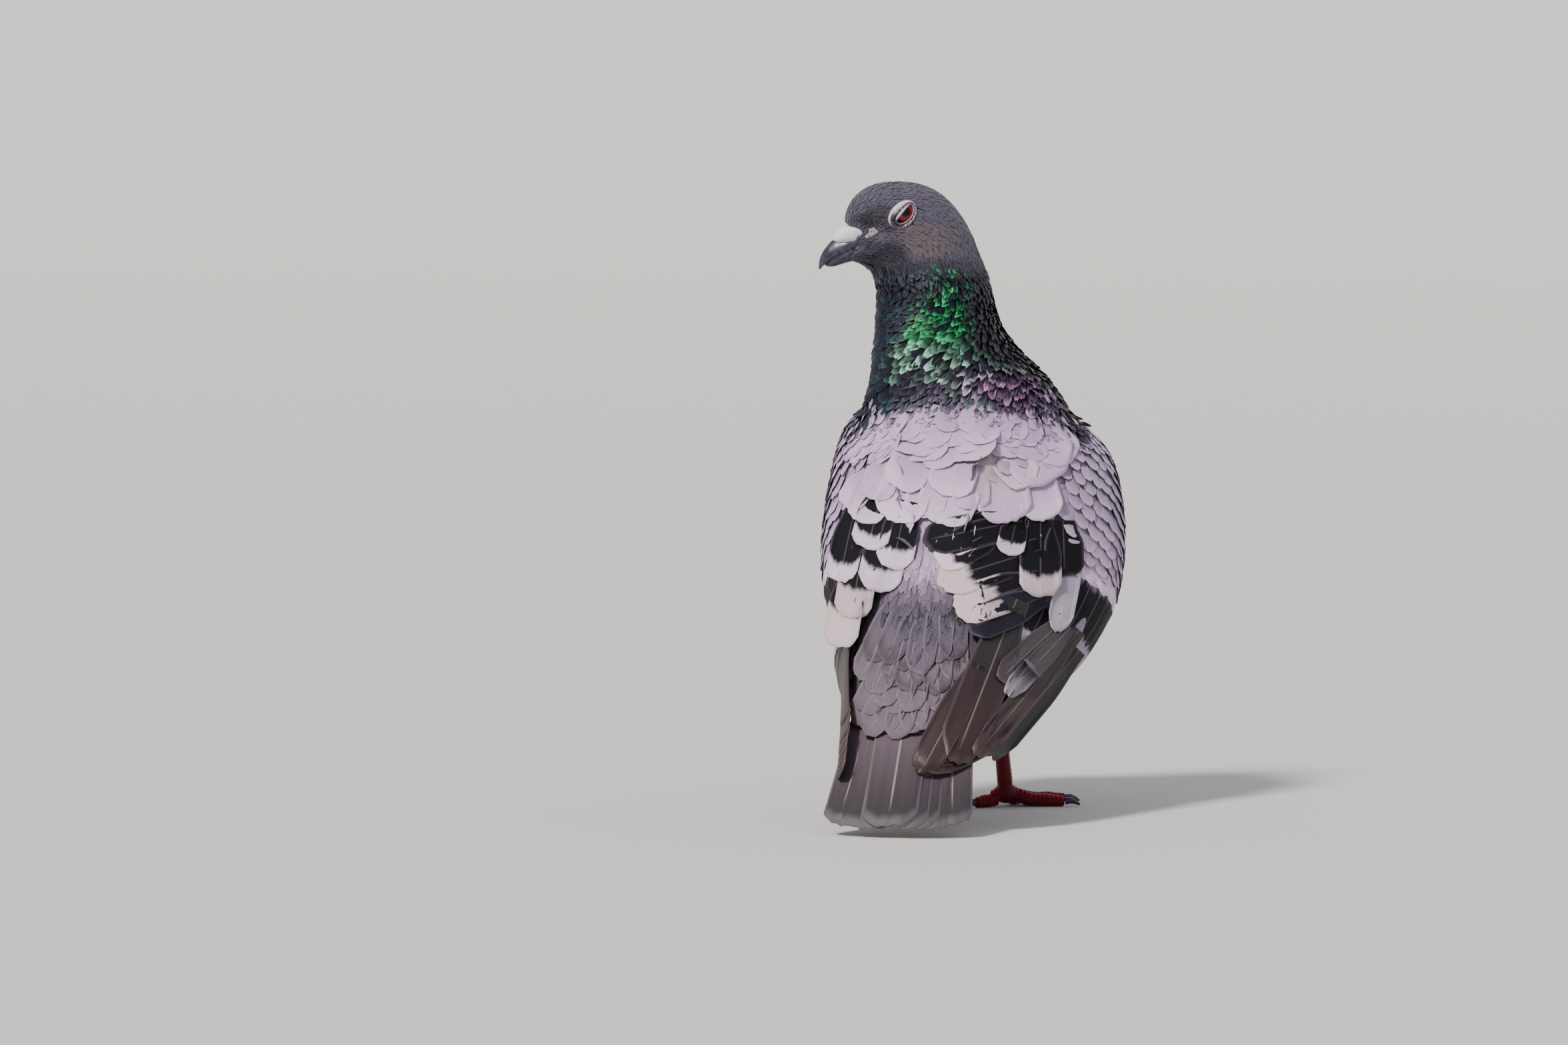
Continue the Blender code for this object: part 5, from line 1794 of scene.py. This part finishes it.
def add_bill():
    """Two mandibles that close on one thin line, the swollen cere over the nostrils, and the wattled gape."""
    upper = face_loft(
        "bill_upper_horn",
        [
            head_rib((13.0, -5.9), (13.0, -11.0), 4.9, 0.2),
            head_rib((16.0, -6.4), (16.2, -11.6), 4.85, 0.22),
            head_rib((20.0, -7.2), (20.5, -12.6), 4.45, 0.26),
            head_rib((25.2, -8.5), (24.6, -14.8), 3.5, 0.3),
            head_rib((28.3, -11.3), (27.2, -16.5), 2.7, 0.3),
            head_rib((30.3, -14.5), (29.2, -17.9), 1.85, 0.25),
            head_rib((31.05, -17.3), (30.1, -18.9), 1.05, 0.15),
            head_rib((30.95, -19.3), (30.75, -19.5), 0.3),
        ],
        8, 40, 0.55,
    )
    lower = face_loft(
        "bill_lower_horn",
        [
            head_rib((12.5, -8.0), (12.0, -14.9), 4.1, -0.1),
            head_rib((16.0, -8.8), (16.0, -15.8), 3.95, -0.1),
            head_rib((20.2, -10.0), (20.2, -16.9), 3.5, -0.12),
            head_rib((24.1, -12.0), (23.4, -17.8), 2.6, -0.12),
            head_rib((26.4, -14.2), (25.8, -18.4), 1.8, -0.1),
            head_rib((28.0, -16.0), (27.6, -18.4), 1.0),
            head_rib((28.9, -17.1), (28.8, -18.0), 0.45),
        ],
        8, 32,
    )
    cere = face_loft(
        "cere_lobes",
        [
            head_rib((11.0, -4.4), (11.6, -8.6), 3.6),
            head_rib((14.2, -3.4), (14.6, -9.8), 5.4),
            head_rib((18.4, -2.9), (18.2, -10.5), 5.6),
            head_rib((22.2, -4.0), (21.6, -10.6), 5.0),
            head_rib((25.0, -6.4), (24.2, -10.3), 3.5),
            head_rib((26.3, -8.4), (26.0, -9.6), 1.1),
        ],
        9, 48, 0.8, 0.2,
    )
    roughened(upper, 500.0, 0.07)
    roughened(lower, 500.0, 0.07)
    roughened(cere, 420.0, 0.14, 3)
    for piece in (upper, lower):
        places, _ = vertex_arrays(piece.data)
        ahead, across, up = head_axes(places)
        # Painted shadow under the cere: a dark line along each side of the bill just below the cere's lower
        # edge.
        level = -9.9 - 0.03 * (ahead - 16)
        nostril_shadow = np.exp(-(((up - level) / 0.55) ** 2)) * window(14.0, 16.0, 22.5, 25.0, ahead)
        mouth = np.interp(ahead, *MOUTH_LINE)
        worn = np.exp(-(((up - mouth) / 0.9) ** 2)) * window(13, 15, 24, 28, ahead)
        float_attribute(piece.data, "NostrilShadow", nostril_shadow * (np.abs(across) > 1.5))
        float_attribute(piece.data, "Worn", worn * (0.9 if piece is upper else 0.6))
    horn, chalk = horn_finish(), cere_finish("cere_skin", tint(224, 213, 216), tint(250, 245, 245))
    finished(upper, horn, "bill_horn", "bill_upper")
    finished(lower, horn, "bill_horn", "bill_lower")
    finished(cere, chalk, "cere_skin", "cere")
    return [upper, lower, cere]


# How far ahead of the eyes and how high each lump of the gape is, and its radius.
GAPE_LUMPS = (
    (14.6, -7.7, 1.0),
    (13.6, -7.2, 1.2),
    (12.5, -6.7, 1.1),
    (11.5, -6.2, 0.8),
    (13.4, -5.5, 0.9),
    (12.4, -5.0, 0.8),
)


def add_gape(side, word, tree, chalk):
    """The small whitish lumpy skin behind the cere, at the corner of the mouth."""
    lumps = []
    for ahead, up, radius in GAPE_LUMPS:
        hit = tree.ray_cast(on_head(ahead, side * CLEAR_OF_HEAD, up), -HEAD_ACROSS * side)[0]
        centre = hit - HEAD_ACROSS * side * radius * 0.72 * MM
        bpy.ops.object.select_all(action="DESELECT")
        bpy.ops.mesh.primitive_ico_sphere_add(subdivisions=4, radius=radius * MM, location=centre)
        bpy.ops.object.transform_apply(location=True, rotation=True, scale=True)
        lumps.append(bpy.context.object)
    bpy.ops.object.select_all(action="DESELECT")
    for lump in lumps:
        lump.select_set(True)
    bpy.context.view_layer.objects.active = lumps[0]
    bpy.ops.object.join()
    gape = bpy.context.object
    gape.name = f"gape_{word}"
    remeshed(gape, FINE_VOXEL, 22)
    return finished(roughened(gape, 700.0, 0.14, 2), chalk, "cere_skin")


FOOT_TURN = {"left": math.radians(18), "right": math.radians(42)}
PALM = (15.0, 4.6)
ANKLE = (2.0, 37.0)
TOES = ((math.pi, 0, 13.0), (0.0, -38, 20.0), (0.0, 0, 25.0), (0.0, 36, 20.5))
SCUTE = 1.55  # the length of a scale along a toe or shin
SCUTE_RISE = 0.22
LEG_SINK = 0.14  # how deep the creases between the scales lie
AXIS_POINTS = 60  # points along each toe and the shin
ABOVE_PALM = 8  # how many points above the palm those of the shin begin


def leg_axes(side, word):
    """Points along toes and shin, each with the way along, the way its scutes face and how far it is."""
    hip = LEG_CENTRE + LEG_APART * side
    heading = side * FOOT_TURN[word]
    points = []
    for straight, turn, length in TOES:
        angle = heading + straight + side * math.radians(turn)
        along = Vector((math.sin(angle), -math.cos(angle), 0))
        start = placed((hip, PALM[0], 2.2), leaning=False)
        for k in range(AXIS_POINTS):
            far = length * 1.1 * k / (AXIS_POINTS - 1)
            points.append((start + along * far * MM, along, Vector((0, 0, 1)), far))
    low, high = (placed((hip, *place), leaning=False) for place in (PALM, ANKLE))
    along = (high - low).normalized()
    front = Vector((0, -1, 0))
    for k in range(AXIS_POINTS):
        far = (high - low).length * (k + ABOVE_PALM) / (AXIS_POINTS - 1)
        points.append((low + along * far, along, front, far / MM))
    return points


def leg_finish():
    """Crimson scaly skin: paler dusty scales with creases darkened by painted shade, and fine grains at the
    sides and soles.
    """
    made = Finish("leg_skin", 0.5, Specular_IOR_Level=0.3, Subsurface_Weight=0.08)
    place = made.place()
    along = made.math("FRACT", made.math("DIVIDE", made.attribute("Along", "Fac"), SCUTE))
    top = made.fade(0.2, 0.55, made.attribute("Top", "Fac"))
    scale = made.minus(made.fade(0.0, 0.75, along), made.fade(0.8, 0.98, along))
    cells = made.nodes.new("ShaderNodeTexVoronoi")
    made.put(cells.inputs["Vector"], place)
    made.put(cells.inputs["Scale"], 2000.0)
    grain = made.fade(0.62, 0.2, cells.outputs["Distance"])
    relief = made.plus(made.times(scale, top), made.times(grain, 0.35))
    fine = made.noise(place, 900.0, 4.0)
    # Partly painted shade: colour follows the relief, paler and dusty on raised scales, darker in creases and
    # between grains.
    colour = made.mix(made.fade(0.1, 1.2, relief), tint(92, 0, 24), tint(176, 10, 48))
    colour = made.brighten(colour, made.fade(-0.8, 1.0, fine))
    made.bump(relief, 0.8, 0.0003)
    return made.paint(colour)


def add_leg(side, word, skin_of_leg, claw_horn):
    """A bare shin and foot as one piece with overlapping scutes in front and above, and smooth claws."""
    leg = fused(f"leg_{word}", [f"foot_{word}", f"tarsus_{word}"], LEG_VOXEL, swell=0.12)
    axes = leg_axes(side, word)
    tree = KDTree(len(axes))
    for n, (point, _, _, _) in enumerate(axes):
        tree.insert(point, n)
    tree.balance()
    places, normals = vertex_arrays(leg.data)
    along, top = np.zeros(len(places)), np.zeros(len(places))
    for n, place in enumerate(places):
        _, near, _ = tree.find(place)
        point, way, facing, far = axes[near]
        along[n] = far + (Vector(place) - point).dot(way) / MM
        top[n] = Vector(normals[n]).dot(facing)
    phase = (along / SCUTE) % 1.0
    step = (fade(0.0, 0.75, phase) - fade(0.8, 0.98, phase)) * fade(0.2, 0.55, top)
    level = above_feet(places)
    relief = fade(0.3, 1.0, level) * (SCUTE_RISE * step - LEG_SINK)
    places = places + normals * relief[:, None] * MM
    places[:, 2] = np.maximum(places[:, 2], 0.0)
    move_points(leg.data, places)
    float_attribute(leg.data, "Along", along)
    float_attribute(leg.data, "Top", top)
    finished(leg, skin_of_leg, "leg_skin", f"foot_{word}", f"tarsus_{word}")
    nodes = [f"claw_{number}_{word}" for number in (1, 2, 3, 4)]
    claws = fused(f"claws_{word}", nodes, FINE_VOXEL, 5, 0.16)
    finished(claws, claw_horn, "claw_horn", *nodes)


def claw_finish():
    """Dark smooth horn with a soft grain."""
    made = Finish("claw_horn", 0.3, Specular_IOR_Level=0.55)
    grain = made.noise(made.place(), 800.0, 3.0)
    return made.paint(made.mix(grain, tint(18, 20, 34), tint(60, 64, 86)))


def add_bare_parts(coat):
    """Eyes, lids, bill, cere, legs and claws. Gives the surface of those that the face's feathers stop at."""
    tree = tree_of(coat)
    horn = add_bill()
    chalk = cere_finish("gape_skin", tint(118, 104, 110), tint(206, 190, 190))
    wet, bare_skin, crimson, claw_horn = eye_finish(), lid_finish(), leg_finish(), claw_finish()
    for side, word in SIDES:
        add_eye(side, word, wet)
        add_lids(side, word, tree, bare_skin)
        horn.append(add_gape(side, word, tree, chalk))
        add_leg(side, word, crimson, claw_horn)
    edge = bmesh.new()
    for piece in horn:
        edge.from_mesh(piece.data)
    stop = BVHTree.FromBMesh(edge)
    edge.free()
    return stop


VIEW_DISTANCE = 3.5
LENS = 230.4
VIEW_MIDDLE = (-61.7, 99.9)  # how far right of and above the feet the picture's middle is


def add_camera():
    """Behind the bird, a little to its left and just above its middle, with a long lens."""
    right, up, back = view_ways()
    target = ORIGIN + right * VIEW_MIDDLE[0] * MM + up * VIEW_MIDDLE[1] * MM
    data = bpy.data.cameras.new("camera")
    data.sensor_width = 36
    data.lens = LENS
    camera = new_object("camera", data)
    camera.matrix_world = Matrix.Translation(target + back * VIEW_DISTANCE) @ Matrix(
        ((right.x, up.x, back.x, 0), (right.y, up.y, back.y, 0), (right.z, up.z, back.z, 0), (0, 0, 0, 1))
    )
    bpy.context.scene.camera = camera


# The studio's floor and backdrop, in metres.
COVE_WIDTH = 16.0
COVE_FRONT = 14.0
COVE_BACK = -5.0
COVE_RADIUS = 3.0
COVE_HEIGHT = 9.0
COVE_STEPS = 32
SKY_COLOUR = (0.86, 0.9, 1.0, 1.0)
SKY_STRENGTH = 0.55
SUN_COLOUR = (1.0, 0.96, 0.9)
SUN_STRENGTH = 3.6
SUN_SPREAD = math.radians(10)
SUN_WAY = Vector((-0.62, -0.95, -1.35))  # the way that its light goes


def add_studio():
    """A pale floor that curves up behind into a plain backdrop, a pale sky and one soft sun."""
    arc = [math.pi / 2 * k / COVE_STEPS for k in range(COVE_STEPS + 1)]
    profile = [(COVE_FRONT, 0.0)]
    profile += [(COVE_BACK - COVE_RADIUS * math.sin(a), COVE_RADIUS * (1 - math.cos(a))) for a in arc]
    profile.append((COVE_BACK - COVE_RADIUS, COVE_HEIGHT))
    corners = [(x, y, z) for y, z in profile for x in (-COVE_WIDTH, COVE_WIDTH)]
    faces = [(2 * k + 2, 2 * k + 3, 2 * k + 1, 2 * k) for k in range(len(profile) - 1)]
    floor = new_object("floor", smooth_mesh("floor", corners, faces))
    pale = Finish("floor", 0.85)
    floor.data.materials.append(pale.paint(tint(214, 212, 208)))
    world = bpy.data.worlds.new("sky")
    world.use_nodes = True
    light = world.node_tree.nodes["Background"].inputs
    light["Color"].default_value = SKY_COLOUR
    light["Strength"].default_value = SKY_STRENGTH
    bpy.context.scene.world = world
    data = bpy.data.lights.new("key", "SUN")
    data.energy = SUN_STRENGTH
    data.angle = SUN_SPREAD
    data.color = SUN_COLOUR
    key = new_object("key", data)
    key.rotation_mode = "QUATERNION"
    key.rotation_quaternion = SUN_WAY.to_track_quat("-Z", "Y")


rng = np.random.default_rng(SEED)
GUIDE = guide()
coat = slimmed(fused("coat", FLESH + WINGS + ["eye_left", "eye_right"], SKIN_VOXEL))
pad = bridged("pad", ["trunk", "neck"] + WINGS + WING_ENDS, 5.0)
rear = bridged("rear", ["trunk", "tail"], 3.0)
skin = skin_from()
finished(skin, skin_finish(), "body_feathers", *FLESH, *WINGS)
bare = add_bare_parts(coat)
back = add_body_feathers(coat, pad, rear, bare, rng)
wings = add_wings(coat, pad, rng)
add_placed_feathers(pad, rear, [back, wings], rng)
add_tail(rng)
for helper in (coat, pad, rear):
    bpy.data.objects.remove(helper)
add_camera()
add_studio()
